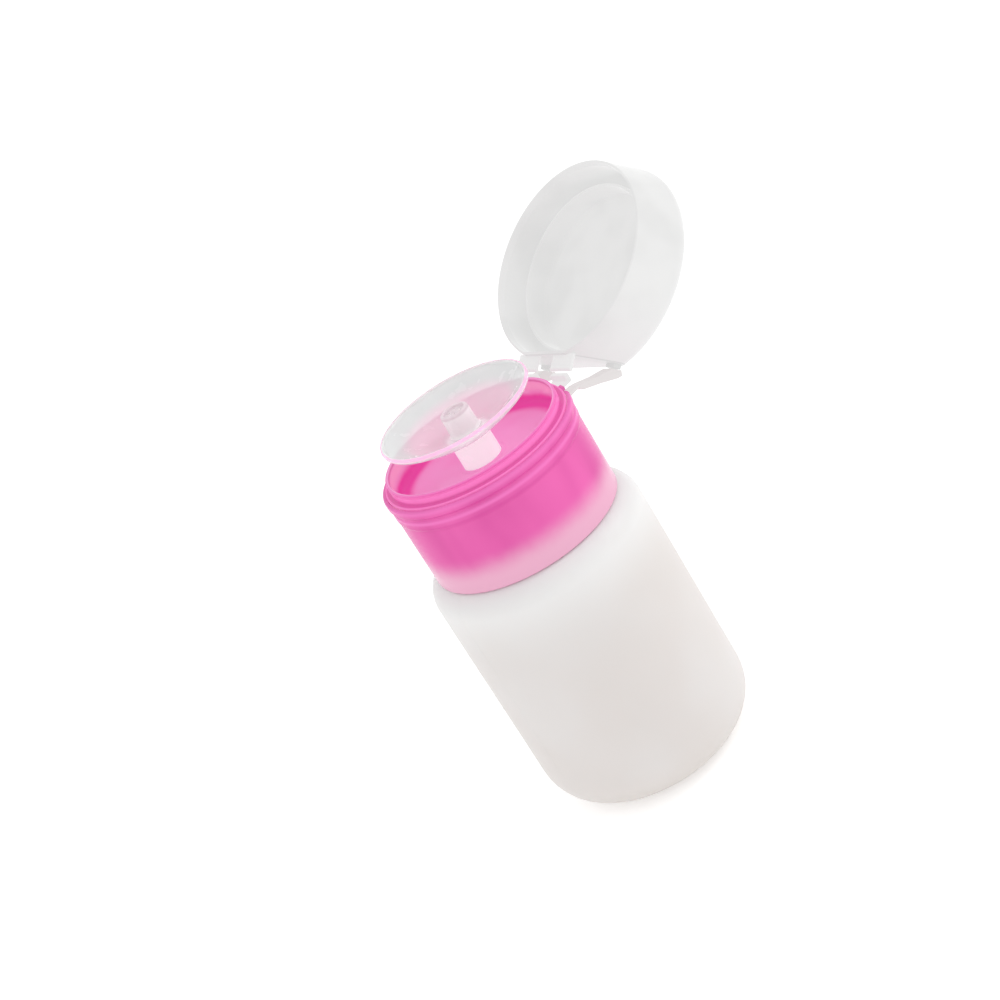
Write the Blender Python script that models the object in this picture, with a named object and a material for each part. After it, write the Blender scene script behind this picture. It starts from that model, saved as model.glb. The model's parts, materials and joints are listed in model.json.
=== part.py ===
"""Push-down dispenser bottle for nail polish remover.

A blown bottle with a screw collar, a hand pump whose dish is pressed with a cotton pad, and a
flip lid on a snap hinge, shown with the lid open.  Every piece is its own closed solid.
The origin is the middle of the bottle's foot, +Z is up and the hinge points along +X.
"""
import math

import bmesh
import bpy
from mathutils import Matrix, Vector

MM = 0.001

# Clearances and round counts
GAP = 0.3 * MM
RUNNING_GAP = 0.4 * MM
CUT_OVERRUN = 1.0 * MM
MERGE_DISTANCE = 0.0005 * MM
WALL_MATCH = 0.005 * MM
BODY_SIDES = 36
INNER_SIDES = 28
SMALL_SIDES = 20
SHARP_ANGLE = math.radians(38)

# Bottle
BOTTLE_RADIUS = 25.0 * MM
BOTTLE_WALL = 1.2 * MM
FOOT_ROUND = 10.5 * MM
SHOULDER_ROUND = 5.4 * MM
SHOULDER_HEIGHT = 62.3 * MM
SHOULDER_RISE = 1.2 * MM
NECK_RADIUS = 9.6 * MM
NECK_WALL = 1.4 * MM
NECK_LENGTH = 14.2 * MM
NECK_FILLET = 1.2 * MM

# Thread on the neck and in the inner cap
THREAD_PITCH = 3.5 * MM
THREAD_HEIGHT = 0.7 * MM
THREAD_HALF_WIDTH = 0.8 * MM
THREAD_CLEARANCE = 0.4 * MM
THREAD_FADE = 0.8 * MM
THREAD_START = 2.2 * MM
THREAD_LENGTH = 9.5 * MM
THREAD_ROWS = 16

# Washer and pump housing
GASKET_THICKNESS = 0.8 * MM
GASKET_INNER_RADIUS = 7.1 * MM
HOUSING_FLANGE = 1.1 * MM
GUIDE_BORE = 5.2 * MM
CHAMBER_BORE = 4.4 * MM
HOUSING_WALL = 1.2 * MM
GUIDE_LENGTH = 9.7 * MM
CHAMBER_LENGTH = 19.6 * MM
SEAT_CONE = 1.4 * MM
INLET_HOLE = 0.9 * MM
TUBE_SOCKET_DEPTH = 4.6 * MM
TUBE_RADIUS = 2.0 * MM
TUBE_WALL = 0.7 * MM
TUBE_END_HEIGHT = 3.0 * MM

# Inner cap, which screws on the neck
CAP_WALL = 1.2 * MM
CAP_SKIRT_LENGTH = 12.6 * MM
CAP_DECK = 1.3 * MM
CAP_HOLE = 4.9 * MM
DECK_RADIUS = 20.1 * MM

# Collar
COLLAR_RADIUS = 21.9 * MM
COLLAR_WALL = 1.2 * MM
COLLAR_FOOT_CLEARANCE = 0.3 * MM
COLLAR_LENGTH = 22.1 * MM
COLLAR_FOOT_ROUND = 0.5 * MM
COLLAR_BORE = 20.6 * MM
LEDGE_RADIUS = 19.6 * MM
LEDGE_THICKNESS = 1.0 * MM
FLANGE_RADIUS = 22.4 * MM
FLANGE_DROP = 2.3 * MM
FLANGE_BAND_DROP = 1.05 * MM
FLANGE_ROUND = 0.47 * MM
SHELF_EDGE_RADIUS = 22.0 * MM
REBATE_RADIUS = 21.5 * MM
REBATE_DEPTH = 1.8 * MM

# Well insert, whose cover disc lies on the hinge ring and whose lip stands above it
WELL_RADIUS = 19.4 * MM
WELL_WALL = 0.6 * MM
WELL_FLOOR = 1.1 * MM
WELL_FLOOR_ROUND = 1.4 * MM
COVER_THICKNESS = 0.5 * MM
LIP_WALL = 0.8 * MM
LIP_HEIGHT = 2.3 * MM
BOSS_RADIUS = 5.8 * MM
BOSS_HEIGHT = 0.3 * MM

# Dish, nozzle and stem
DISH_RADIUS = 17.4 * MM
DISH_RIM_RISE = 9.6 * MM
DISH_DEPTH = 5.4 * MM
DISH_WALL = 1.0 * MM
DISH_HUB_RADIUS = 5.0 * MM
DISH_RIM_ROUND = 0.45 * MM
DISH_WALL_SHIFT = 0.33 * MM
BOWL_CURVE_SHARE = 1.25
BOWL_STEPS = 6
NOZZLE_RADIUS = 3.3 * MM
NOZZLE_HEIGHT = 4.8 * MM
NOZZLE_WALL = 0.8 * MM
NOZZLE_ROUND = 0.5 * MM
NOZZLE_HOLE = 0.4 * MM
NOZZLE_HOLE_CIRCLE = 1.5 * MM
NOZZLE_HOLE_COUNT = 4
NOZZLE_HOLE_SIDES = 8
SLEEVE_RADIUS = 4.4 * MM
SLEEVE_WALL = 1.0 * MM
STEM_RADIUS = 2.1 * MM
STEM_BORE = 0.8 * MM
DISH_STROKE = 4.8 * MM
STROKE_SPARE = 1.1 * MM

# Inside the pump
WIPER_THICKNESS = 0.8 * MM
RETAINER_THICKNESS = 1.6 * MM
PISTON_LENGTH = 3.6 * MM
PISTON_RADIUS = 3.8 * MM
PISTON_DROP = 4.4 * MM
SEAL_RADIUS = 4.1 * MM
SEAL_GROOVE = 2.9 * MM
SEAL_THICKNESS = 1.2 * MM
OUTLET_BALL = 1.15 * MM
OUTLET_CHAMBER = 1.5 * MM
OUTLET_FLOOR = 1.0 * MM
INLET_BALL = 1.5 * MM
INLET_LIFT = 1.0 * MM
SPRING_SEAT_THICKNESS = 1.0 * MM
SPRING_SEAT_HOLE = 0.8 * MM
SPRING_RADIUS = 2.9 * MM
SPRING_WIRE = 0.3 * MM
SPRING_TURNS = 6
SPRING_TURN_POINTS = 12

# Lid, in its closed place
LID_MOUTH_RADIUS = 22.3 * MM
LID_CROWN_RADIUS = 24.4 * MM
LID_DEPTH = 13.4 * MM
LID_CROWN_ROUND = 2.8 * MM
LID_WALL = 0.8 * MM
LID_TOP = 1.2 * MM
LID_BACK_FOOT = 21.5 * MM
LID_BACK_TOP = 20.2 * MM
LID_MOUTH_CHAMFER = 0.4 * MM
LID_CHAMFER_LENGTH = 1.4 * MM
LINER_RADIUS = 19.1 * MM
LINER_WALL = 0.5 * MM
LINER_DISC = 0.8 * MM
LINER_RING_HEIGHT = 5.6 * MM

# Snap hinge
HINGE_OFFSET = 24.4 * MM
HINGE_RISE = 1.1 * MM
LID_OPEN_ANGLE = math.radians(143.9)
KNUCKLE_RADIUS = 0.55 * MM
KNUCKLE_SPACING = 5.0 * MM
KNUCKLE_WIDTH = 5.0 * MM
TAB_HALF_THICKNESS = 0.4 * MM
LUG_THICKNESS = 1.3 * MM
LUG_CLEARANCE = 0.6 * MM
RING_THICKNESS = 1.0 * MM
ROOT_THICKNESS = 0.8 * MM
STRAP_SPACING = 11.0 * MM
STRAP_WIDTH = 3.0 * MM
STRAP_THICKNESS = 1.6 * MM
STRAP_INSIDE = 0.4 * MM
STRAP_THIN = 0.4 * MM
STRAP_THIN_LENGTH = 0.9 * MM
STRAP_ARCH = 0.3 * MM
STRAP_STEPS = 6
STRAP_PIVOT_OFFSET = 21.4 * MM
STRAP_END_CLEARANCE = 0.44 * MM
STRAP_END_DROP = 1.6 * MM
STRAP_SEAT_RISE = 1.11 * MM
STRAP_SEAT_DROP = 1.85 * MM
STRAP_SEAT_HEIGHT = 2.1 * MM
STRAP_SEAT_WIDTH = 2.6 * MM
SLOT_CLEARANCE = 0.35 * MM

# Heights that follow from the pieces below them
NECK_TOP = SHOULDER_HEIGHT + NECK_LENGTH
GASKET_BASE = NECK_TOP + GAP
FLANGE_BASE = GASKET_BASE + GASKET_THICKNESS + GAP
FLANGE_TOP = FLANGE_BASE + HOUSING_FLANGE
DECK_BASE = FLANGE_TOP + GAP
DECK_TOP = DECK_BASE + CAP_DECK
WELL_BASE = DECK_TOP + GAP
WELL_TOP = WELL_BASE + WELL_FLOOR
WELL_OUTER_RADIUS = WELL_RADIUS + WELL_WALL
RING_INNER_RADIUS = WELL_OUTER_RADIUS + GAP
RING_OUTER_RADIUS = REBATE_RADIUS - GAP
COVER_RADIUS = RING_OUTER_RADIUS
COLLAR_FOOT_HEIGHT = SHOULDER_HEIGHT + COLLAR_FOOT_CLEARANCE
SHELF_HEIGHT = COLLAR_FOOT_HEIGHT + COLLAR_LENGTH
REBATE_FLOOR = SHELF_HEIGHT - REBATE_DEPTH
RING_BASE = REBATE_FLOOR + GAP
MOUTH_HEIGHT = SHELF_HEIGHT + GAP
COVER_TOP = RING_BASE + RING_THICKNESS + GAP + COVER_THICKNESS
LIP_TOP = COVER_TOP + LIP_HEIGHT
LID_TOP_HEIGHT = MOUTH_HEIGHT + LID_DEPTH
HINGE_HEIGHT = MOUTH_HEIGHT + HINGE_RISE
CEILING = LID_TOP_HEIGHT - LID_TOP
DISH_RIM_HEIGHT = SHELF_HEIGHT + DISH_RIM_RISE
DISH_FLOOR = DISH_RIM_HEIGHT - DISH_DEPTH
DISH_BASE = DISH_FLOOR - DISH_WALL
SLEEVE_TOP = DISH_BASE - GAP
GUIDE_FLOOR = FLANGE_TOP - GUIDE_LENGTH
CHAMBER_FLOOR = GUIDE_FLOOR - CHAMBER_LENGTH
SEAT_BASE = CHAMBER_FLOOR - SEAT_CONE
SOCKET_ROOF = SEAT_BASE - HOUSING_WALL
SOCKET_MOUTH = SOCKET_ROOF - TUBE_SOCKET_DEPTH
SOCKET_RADIUS = TUBE_RADIUS + GAP
RETAINER_BASE = GUIDE_FLOOR + GAP
WIPER_BASE = RETAINER_BASE + RETAINER_THICKNESS + GAP
SLEEVE_BASE = WIPER_BASE + WIPER_THICKNESS + DISH_STROKE + STROKE_SPARE
PISTON_TOP = GUIDE_FLOOR - PISTON_DROP + PISTON_LENGTH
PISTON_BASE = PISTON_TOP - PISTON_LENGTH
STEM_BASE = PISTON_TOP + GAP
NOZZLE_BASE = DISH_FLOOR + GAP
STEM_TOP = NOZZLE_BASE + NOZZLE_HEIGHT / 2


def material(name, colour, roughness, metallic=0.0):
    """A Principled material with one colour."""
    finish = bpy.data.materials.new(name)
    finish.use_nodes = True
    shader = finish.node_tree.nodes["Principled BSDF"]
    shader.inputs["Base Color"].default_value = (*colour, 1.0)
    shader.inputs["Roughness"].default_value = roughness
    shader.inputs["Metallic"].default_value = metallic
    finish.diffuse_color = (*colour, 1.0)
    return finish


def add_object(name, bm, finish):
    """Turn a bmesh into a shaded object in the scene."""
    bmesh.ops.recalc_face_normals(bm, faces=bm.faces)
    mesh = bpy.data.meshes.new(name)
    bm.to_mesh(mesh)
    bm.free()
    mesh.materials.append(finish)
    mesh.shade_smooth()
    mesh.set_sharp_from_angle(angle=SHARP_ANGLE)
    piece = bpy.data.objects.new(name, mesh)
    bpy.context.scene.collection.objects.link(piece)
    return piece


def arc(centre_radius, centre_height, radius, start, end, steps):
    """Points of an arc in an outline; angles in degrees, 0 outwards and 90 up."""
    points = []
    for index in range(steps + 1):
        angle = math.radians(start + (end - start) * index / steps)
        points.append((centre_radius + radius * math.cos(angle),
                       centre_height + radius * math.sin(angle)))
    return points


def lathe(outline, sides, ring=True):
    """Spin an outline of (radius, height) round +Z; a ring outline closes on itself."""
    bm = bmesh.new()
    points = [bm.verts.new((radius, 0, height)) for radius, height in outline]
    followers = points[1:] + points[:1] if ring else points[1:]
    for first, second in zip(points, followers):
        bm.edges.new((first, second))
    bmesh.ops.spin(bm, geom=bm.verts[:] + bm.edges[:], cent=(0, 0, 0), axis=(0, 0, 1),
                   angle=math.tau, steps=sides, use_merge=True)
    bmesh.ops.remove_doubles(bm, verts=bm.verts[:], dist=MERGE_DISTANCE)
    return bm


def lathe_capped(outline, sides):
    """Spin an outline that touches the axis at two points next to each other."""
    count = len(outline)
    first = next(index for index in range(count) if outline[index][0] == 0)
    return lathe(outline[first + 1:] + outline[:first + 1], sides, ring=False)


def extrude(points, rise):
    """Extrude a flat polygon by a vector."""
    bm = bmesh.new()
    face = bm.faces.new([bm.verts.new(point) for point in points])
    grown = bmesh.ops.extrude_face_region(bm, geom=[face])
    moved = [item for item in grown["geom"] if isinstance(item, bmesh.types.BMVert)]
    bmesh.ops.translate(bm, vec=rise, verts=moved)
    return bm


def prism(outline, low, high):
    """Extrude an outline of (x, z) points along Y from low to high."""
    return extrude([(x, low, z) for x, z in outline], (0, high - low, 0))


def rectangle(x_low, x_high, z_low, z_high):
    return [(x_low, z_low), (x_high, z_low), (x_high, z_high), (x_low, z_high)]


def guide(piece):
    """Mark an object that only shapes another one."""
    piece.hide_render = True
    piece.display_type = "WIRE"
    return piece


def combine(target, tool, operation):
    """Add a live Boolean; the tool becomes a guide."""
    step = target.modifiers.new(f"{operation.lower()} {tool.name}", "BOOLEAN")
    step.operation = operation
    step.solver = "EXACT"
    step.object = guide(tool)


def axis_empty(name, place, turn_about_y=0.0):
    """An empty on a joint's axis that carries the pieces of the joint."""
    empty = bpy.data.objects.new(name, None)
    empty.empty_display_size = KNUCKLE_WIDTH
    empty.location = place
    empty.rotation_euler = (0, turn_about_y, 0)
    bpy.context.scene.collection.objects.link(empty)
    return empty


def hang_on(piece, empty):
    """Give a piece modelled in its closed place to an empty on its joint's axis."""
    piece.data.transform(Matrix.Translation(-Vector(empty.location)))
    piece.parent = empty


def thread_ridge(height, angle, low, phase_share):
    """Height of the thread's ridge at a place, by its distance from the helix."""
    turns = (height - low) / THREAD_PITCH - angle / math.tau - phase_share
    distance = abs(turns - round(turns)) * THREAD_PITCH
    if distance >= THREAD_HALF_WIDTH:
        return 0.0
    edge = min(height - low, low + THREAD_LENGTH - height)
    fade = max(0.0, min(1.0, edge / THREAD_FADE))
    return THREAD_HEIGHT * fade * (0.5 + 0.5 * math.cos(math.pi * distance / THREAD_HALF_WIDTH))


def cut_thread(bm, wall_radius, low, phase_share, outward):
    """Push the rows of a threaded wall out, or in, along the helix."""
    for vert in bm.verts:
        radius = math.hypot(vert.co.x, vert.co.y)
        inside = low < vert.co.z < low + THREAD_LENGTH
        if inside and abs(radius - wall_radius) < WALL_MATCH:
            angle = math.atan2(vert.co.y, vert.co.x)
            ridge = thread_ridge(vert.co.z, angle, low, phase_share)
            grown = (radius + ridge * outward) / radius
            vert.co.x *= grown
            vert.co.y *= grown


def thread_rows(low):
    return [low + THREAD_LENGTH * row / THREAD_ROWS for row in range(THREAD_ROWS + 1)]


def make_bottle():
    """One blown shell from foot to neck, open at the neck."""
    shoulder_edge = BOTTLE_RADIUS - SHOULDER_ROUND
    shoulder_centre = SHOULDER_HEIGHT - SHOULDER_ROUND
    neck_foot = SHOULDER_HEIGHT + SHOULDER_RISE
    thread_low = SHOULDER_HEIGHT + THREAD_START + NECK_FILLET
    outside = [(0, 0)]
    outside += arc(BOTTLE_RADIUS - FOOT_ROUND, FOOT_ROUND, FOOT_ROUND, -90, 0, 7)
    outside += arc(shoulder_edge, shoulder_centre, SHOULDER_ROUND, 0, 90, 5)
    outside += arc(NECK_RADIUS + NECK_FILLET, neck_foot + NECK_FILLET, NECK_FILLET, 270, 180, 2)
    outside += [(NECK_RADIUS, height) for height in thread_rows(thread_low)]
    outside.append((NECK_RADIUS, NECK_TOP))
    inner_foot = FOOT_ROUND - BOTTLE_WALL
    bore = NECK_RADIUS - NECK_WALL
    inside = [(bore, NECK_TOP), (bore, neck_foot - BOTTLE_WALL)]
    inside += arc(shoulder_edge, shoulder_centre, SHOULDER_ROUND - BOTTLE_WALL, 90, 0, 3)
    inside += arc(BOTTLE_RADIUS - FOOT_ROUND, FOOT_ROUND, inner_foot, 0, -90, 5)
    inside.append((0, BOTTLE_WALL))
    bm = lathe(outside + inside, BODY_SIDES, ring=False)
    cut_thread(bm, NECK_RADIUS, thread_low, 0.0, 1)
    add_object("bottle", bm, material("bottle_plastic", (0.78, 0.75, 0.73), 0.35))
    return thread_low


def make_inner_cap(neck_thread):
    """The threaded closure inside the collar, with the deck that holds the pump down."""
    thread_low = neck_thread + THREAD_PITCH
    bore = NECK_RADIUS + THREAD_HEIGHT + THREAD_CLEARANCE
    skirt = bore + CAP_WALL
    foot = DECK_BASE - CAP_SKIRT_LENGTH
    outline = [(CAP_HOLE, DECK_TOP), (CAP_HOLE, DECK_BASE), (bore, DECK_BASE)]
    outline += [(bore, height) for height in reversed(thread_rows(thread_low))]
    outline += [(bore, foot), (skirt, foot), (skirt, DECK_BASE)]
    outline += [(DECK_RADIUS, DECK_BASE), (DECK_RADIUS, DECK_TOP)]
    bm = lathe(outline, BODY_SIDES)
    cut_thread(bm, bore, thread_low, 0.5, -1)
    add_object("inner_cap", bm, material("cap_plastic", (0.86, 0.85, 0.84), 0.45))


def make_collar_skirt():
    """The translucent pink skirt with its flange bead and the shelf that the lid closes on."""
    inner = COLLAR_RADIUS - COLLAR_WALL
    ledge_top = DECK_BASE - GAP
    ledge_base = ledge_top - LEDGE_THICKNESS
    outline = arc(COLLAR_RADIUS - COLLAR_FOOT_ROUND, COLLAR_FOOT_HEIGHT + COLLAR_FOOT_ROUND,
                  COLLAR_FOOT_ROUND, -90, 0, 2)
    outline += [(COLLAR_RADIUS, SHELF_HEIGHT - FLANGE_DROP)]
    outline += [(FLANGE_RADIUS, SHELF_HEIGHT - FLANGE_BAND_DROP)]
    outline += [(FLANGE_RADIUS, SHELF_HEIGHT - FLANGE_ROUND)]
    outline += [(SHELF_EDGE_RADIUS, SHELF_HEIGHT), (REBATE_RADIUS, SHELF_HEIGHT)]
    outline += [(REBATE_RADIUS, REBATE_FLOOR), (COLLAR_BORE, REBATE_FLOOR)]
    outline += [(COLLAR_BORE, ledge_top), (LEDGE_RADIUS, ledge_top)]
    outline += [(LEDGE_RADIUS, ledge_base), (inner, ledge_base - LEDGE_THICKNESS)]
    outline += [(inner, COLLAR_FOOT_HEIGHT)]
    skirt = add_object("collar_skirt", lathe(outline, BODY_SIDES),
                       material("collar_pink", (0.80, 0.13, 0.42), 0.25))
    cutter_finish = material("cutter", (0.5, 0.5, 0.5), 0.5)
    for index, (middle, half_width) in enumerate(root_places()):
        outline = rectangle(COLLAR_BORE - middle_sag(middle), HINGE_OFFSET, REBATE_FLOOR,
                            SHELF_HEIGHT + CUT_OVERRUN)
        slot = add_object(f"root_slot_{index}",
                          prism(outline, middle - half_width - SLOT_CLEARANCE,
                                middle + half_width + SLOT_CLEARANCE), cutter_finish)
        combine(skirt, slot, "DIFFERENCE")


def root_places():
    """Where hinge roots pass the collar: the place along Y and the half width of each."""
    knuckle_half = KNUCKLE_WIDTH / 2
    strap_half = STRAP_WIDTH / 2
    return [(-STRAP_SPACING, strap_half), (-KNUCKLE_SPACING, knuckle_half),
            (KNUCKLE_SPACING, knuckle_half), (STRAP_SPACING, strap_half)]


def middle_sag(middle):
    """How far the collar's bore has curved away from its front at a place along Y."""
    reach = abs(middle) + STRAP_WIDTH
    return COLLAR_BORE - math.sqrt(COLLAR_BORE ** 2 - reach ** 2)


def make_collar_well():
    """The pink insert: lip, cover disc, wall and the floor that the stem passes through."""
    hole = SLEEVE_RADIUS + RUNNING_GAP
    cover_base = COVER_TOP - COVER_THICKNESS
    lip_round = LIP_WALL / 2
    outline = [(WELL_OUTER_RADIUS, WELL_BASE), (WELL_OUTER_RADIUS, cover_base)]
    outline += [(COVER_RADIUS, cover_base)]
    outline += [(COVER_RADIUS, COVER_TOP), (WELL_RADIUS + LIP_WALL, COVER_TOP)]
    outline += arc(WELL_RADIUS + lip_round, LIP_TOP - lip_round, lip_round, 0, 180, 4)
    outline += arc(WELL_RADIUS - WELL_FLOOR_ROUND, WELL_TOP + WELL_FLOOR_ROUND,
                   WELL_FLOOR_ROUND, 0, -90, 2)
    outline += [(BOSS_RADIUS, WELL_TOP), (BOSS_RADIUS, WELL_TOP + BOSS_HEIGHT)]
    outline += [(hole, WELL_TOP + BOSS_HEIGHT), (hole, WELL_BASE)]
    add_object("collar_well", lathe(outline, BODY_SIDES),
               material("well_pink", (0.86, 0.25, 0.52), 0.25))


def make_hinge_ring():
    """The white ring clamped in the collar, with strap roots and hinge lugs in one moulding."""
    finish = material("hinge_white", (0.83, 0.82, 0.80), 0.4)
    ring_top = RING_BASE + RING_THICKNESS
    outline = [(RING_INNER_RADIUS, RING_BASE), (RING_OUTER_RADIUS, RING_BASE),
               (RING_OUTER_RADIUS, ring_top), (RING_INNER_RADIUS, ring_top)]
    ring = add_object("hinge_ring", lathe(outline, BODY_SIDES), finish)
    root_top = RING_BASE + ROOT_THICKNESS
    thin_end = STRAP_PIVOT_OFFSET - GAP
    lug_inner = LID_MOUTH_RADIUS + LUG_CLEARANCE
    lug_top = HINGE_HEIGHT - KNUCKLE_RADIUS - GAP
    for index, (middle, half_width) in enumerate(root_places()):
        reach = abs(middle)
        ring_middle = (RING_INNER_RADIUS + RING_OUTER_RADIUS) / 2
        start = math.sqrt(ring_middle ** 2 - reach ** 2)
        if reach == STRAP_SPACING:
            outline = rectangle(start, thin_end, RING_BASE, root_top)
        else:
            outline = [(start, RING_BASE), (lug_inner + LUG_THICKNESS, RING_BASE),
                       (lug_inner + LUG_THICKNESS, lug_top), (lug_inner, lug_top),
                       (lug_inner, root_top), (start, root_top)]
        root = add_object(f"hinge_root_{index}",
                          prism(outline, middle - half_width, middle + half_width), finish)
        combine(ring, root, "UNION")


def make_lid(hinge):
    """The lid shell with its flat back and hinge knuckles, and the liner with its ring."""
    finish = material("lid_white", (0.84, 0.84, 0.83), 0.35)
    wall_run = LID_DEPTH - LID_CROWN_ROUND
    crown_centre = LID_CROWN_RADIUS - LID_CROWN_ROUND
    crown_height = MOUTH_HEIGHT + wall_run
    inner_round = LID_CROWN_ROUND - LID_WALL
    outline = [(0, MOUTH_HEIGHT), (LID_MOUTH_RADIUS, MOUTH_HEIGHT)]
    outline += arc(crown_centre, crown_height, LID_CROWN_ROUND, 0, 90, 5)
    outline.append((0, LID_TOP_HEIGHT))
    shell = add_object("lid_shell", flat_backed(outline, 0), finish)
    hang_on(shell, hinge)
    mouth_inner = LID_MOUTH_RADIUS - LID_WALL
    mouth_edge = mouth_inner + LID_MOUTH_CHAMFER
    outline = [(0, CEILING)]
    outline += arc(crown_centre, CEILING - inner_round, inner_round, 90, 0, 3)
    outline += [(mouth_inner, MOUTH_HEIGHT + LID_CHAMFER_LENGTH), (mouth_edge, MOUTH_HEIGHT)]
    outline += [(mouth_edge, MOUTH_HEIGHT - CUT_OVERRUN), (0, MOUTH_HEIGHT - CUT_OVERRUN)]
    hollow = add_object("lid_hollow", flat_backed(outline, LID_WALL), finish)
    hang_on(hollow, hinge)
    combine(shell, hollow, "DIFFERENCE")
    start = back_reach(HINGE_HEIGHT) - LID_WALL / 2
    tab_join = 180 - math.degrees(math.asin(TAB_HALF_THICKNESS / KNUCKLE_RADIUS))
    for index, side in enumerate((-1, 1)):
        low = side * KNUCKLE_SPACING - KNUCKLE_WIDTH / 2
        high = low + KNUCKLE_WIDTH
        tab = arc(HINGE_OFFSET, HINGE_HEIGHT, KNUCKLE_RADIUS, -tab_join, tab_join, 8)
        tab += [(start, HINGE_HEIGHT + TAB_HALF_THICKNESS)]
        tab += [(start, HINGE_HEIGHT - TAB_HALF_THICKNESS)]
        knuckle = add_object(f"lid_knuckle_{index}", prism(tab, low, high), finish)
        seat = add_object(f"strap_seat_{index}", strap_seat(side), finish)
        for piece in (knuckle, seat):
            hang_on(piece, hinge)
            combine(shell, piece, "UNION")
    inner = LINER_RADIUS - LINER_WALL
    disc_top = CEILING - GAP
    disc_base = disc_top - LINER_DISC
    ring_foot = disc_base - LINER_RING_HEIGHT
    outline = [(0, disc_top), (LINER_RADIUS, disc_top), (LINER_RADIUS, ring_foot),
               (inner, ring_foot), (inner, disc_base), (0, disc_base)]
    liner = add_object("lid_liner", lathe(outline, BODY_SIDES, ring=False),
                       material("liner_white", (0.80, 0.80, 0.79), 0.45))
    hang_on(liner, hinge)


def back_reach(height):
    """How far out the lid's flat back is at a height, in the lid's closed place."""
    share = (height - MOUTH_HEIGHT) / LID_DEPTH
    return LID_BACK_FOOT + (LID_BACK_TOP - LID_BACK_FOOT) * share


def flat_backed(outline, inset):
    """Spin an outline that starts and ends on the axis, and cut it flat on the hinge's side."""
    bm = lathe(outline, BODY_SIDES, ring=False)
    cut = bmesh.ops.bisect_plane(bm, geom=bm.verts[:] + bm.edges[:] + bm.faces[:],
                                 dist=MERGE_DISTANCE, clear_outer=True,
                                 plane_co=(LID_BACK_FOOT - inset, 0, MOUTH_HEIGHT),
                                 plane_no=(LID_DEPTH, 0, LID_BACK_FOOT - LID_BACK_TOP))
    edges = [item for item in cut["geom_cut"] if isinstance(item, bmesh.types.BMEdge)]
    bmesh.ops.edgeloop_fill(bm, edges=edges)
    return bm


def seat_reach():
    """How far the strap seats stand out, in the lid's closed place."""
    return back_reach(LID_TOP_HEIGHT - STRAP_SEAT_DROP) + STRAP_SEAT_RISE


def strap_seat(side):
    """The block on the lid's flat back that a strap's outer end joins."""
    low = side * STRAP_SPACING - STRAP_SEAT_WIDTH / 2
    top = LID_TOP_HEIGHT - STRAP_SEAT_DROP
    base = top - STRAP_SEAT_HEIGHT
    start = back_reach(top) - LID_WALL / 4
    outline = rectangle(start, seat_reach(), base, top)
    return prism(outline, low, low + STRAP_SEAT_WIDTH)


def strap_run(root):
    """Length of a strap and its turn about +Y, from its root to its seat on the open lid."""
    axis = Vector((HINGE_OFFSET, 0, HINGE_HEIGHT))
    seat = Vector((seat_reach() + STRAP_END_CLEARANCE, 0, LID_TOP_HEIGHT - STRAP_END_DROP))
    run = axis + Matrix.Rotation(LID_OPEN_ANGLE, 3, "Y") @ (seat - axis) - root
    return run.length, math.atan2(-run.z, run.x)


def make_straps():
    """The two side straps of the snap hinge, each on an empty at its root."""
    finish = material("strap_white", (0.80, 0.79, 0.77), 0.4)
    root = Vector((STRAP_PIVOT_OFFSET, 0, RING_BASE + ROOT_THICKNESS / 2))
    length, open_angle = strap_run(root)
    for name, side in (("near", -1), ("far", 1)):
        place = root + Vector((0, side * STRAP_SPACING, 0))
        empty = axis_empty(f"strap_{name}_axis", place, open_angle)
        upper = []
        lower = []
        thick_run = length - 2 * STRAP_THIN_LENGTH
        for index in range(STRAP_STEPS + 1):
            share = index / STRAP_STEPS
            along = STRAP_THIN_LENGTH + thick_run * share
            rise = STRAP_ARCH * (1 - (2 * share - 1) ** 2)
            upper.append((along, rise + STRAP_INSIDE))
            lower.append((along, rise + STRAP_INSIDE - STRAP_THICKNESS))
        thin = STRAP_THIN / 2
        outline = [(0, -thin)] + lower + [(length, -thin), (length, thin)]
        outline += upper[::-1] + [(0, thin)]
        strap = add_object(f"hinge_strap_{name}",
                           prism(outline, -STRAP_WIDTH / 2, STRAP_WIDTH / 2), finish)
        strap.parent = empty


def make_pump_housing():
    """The pump body: flange, guide bore, chamber, inlet seat and tube socket."""
    guide_outer = GUIDE_BORE + HOUSING_WALL
    chamber_outer = CHAMBER_BORE + HOUSING_WALL
    socket_outer = SOCKET_RADIUS + HOUSING_WALL
    flange = NECK_RADIUS - GAP
    outline = [(GUIDE_BORE, FLANGE_TOP), (flange, FLANGE_TOP), (flange, FLANGE_BASE)]
    outline += [(guide_outer, FLANGE_BASE), (guide_outer, GUIDE_FLOOR - HOUSING_WALL)]
    outline += [(chamber_outer, GUIDE_FLOOR - 2 * HOUSING_WALL), (chamber_outer, CHAMBER_FLOOR)]
    outline += [(socket_outer, SEAT_BASE - HOUSING_WALL), (socket_outer, SOCKET_MOUTH)]
    outline += [(SOCKET_RADIUS, SOCKET_MOUTH), (SOCKET_RADIUS, SOCKET_ROOF)]
    outline += [(INLET_HOLE, SOCKET_ROOF), (INLET_HOLE, SEAT_BASE)]
    outline += [(CHAMBER_BORE, CHAMBER_FLOOR), (CHAMBER_BORE, GUIDE_FLOOR)]
    outline += [(GUIDE_BORE, GUIDE_FLOOR)]
    add_object("pump_housing", lathe(outline, INNER_SIDES),
               material("housing_plastic", (0.83, 0.83, 0.82), 0.4))


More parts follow.
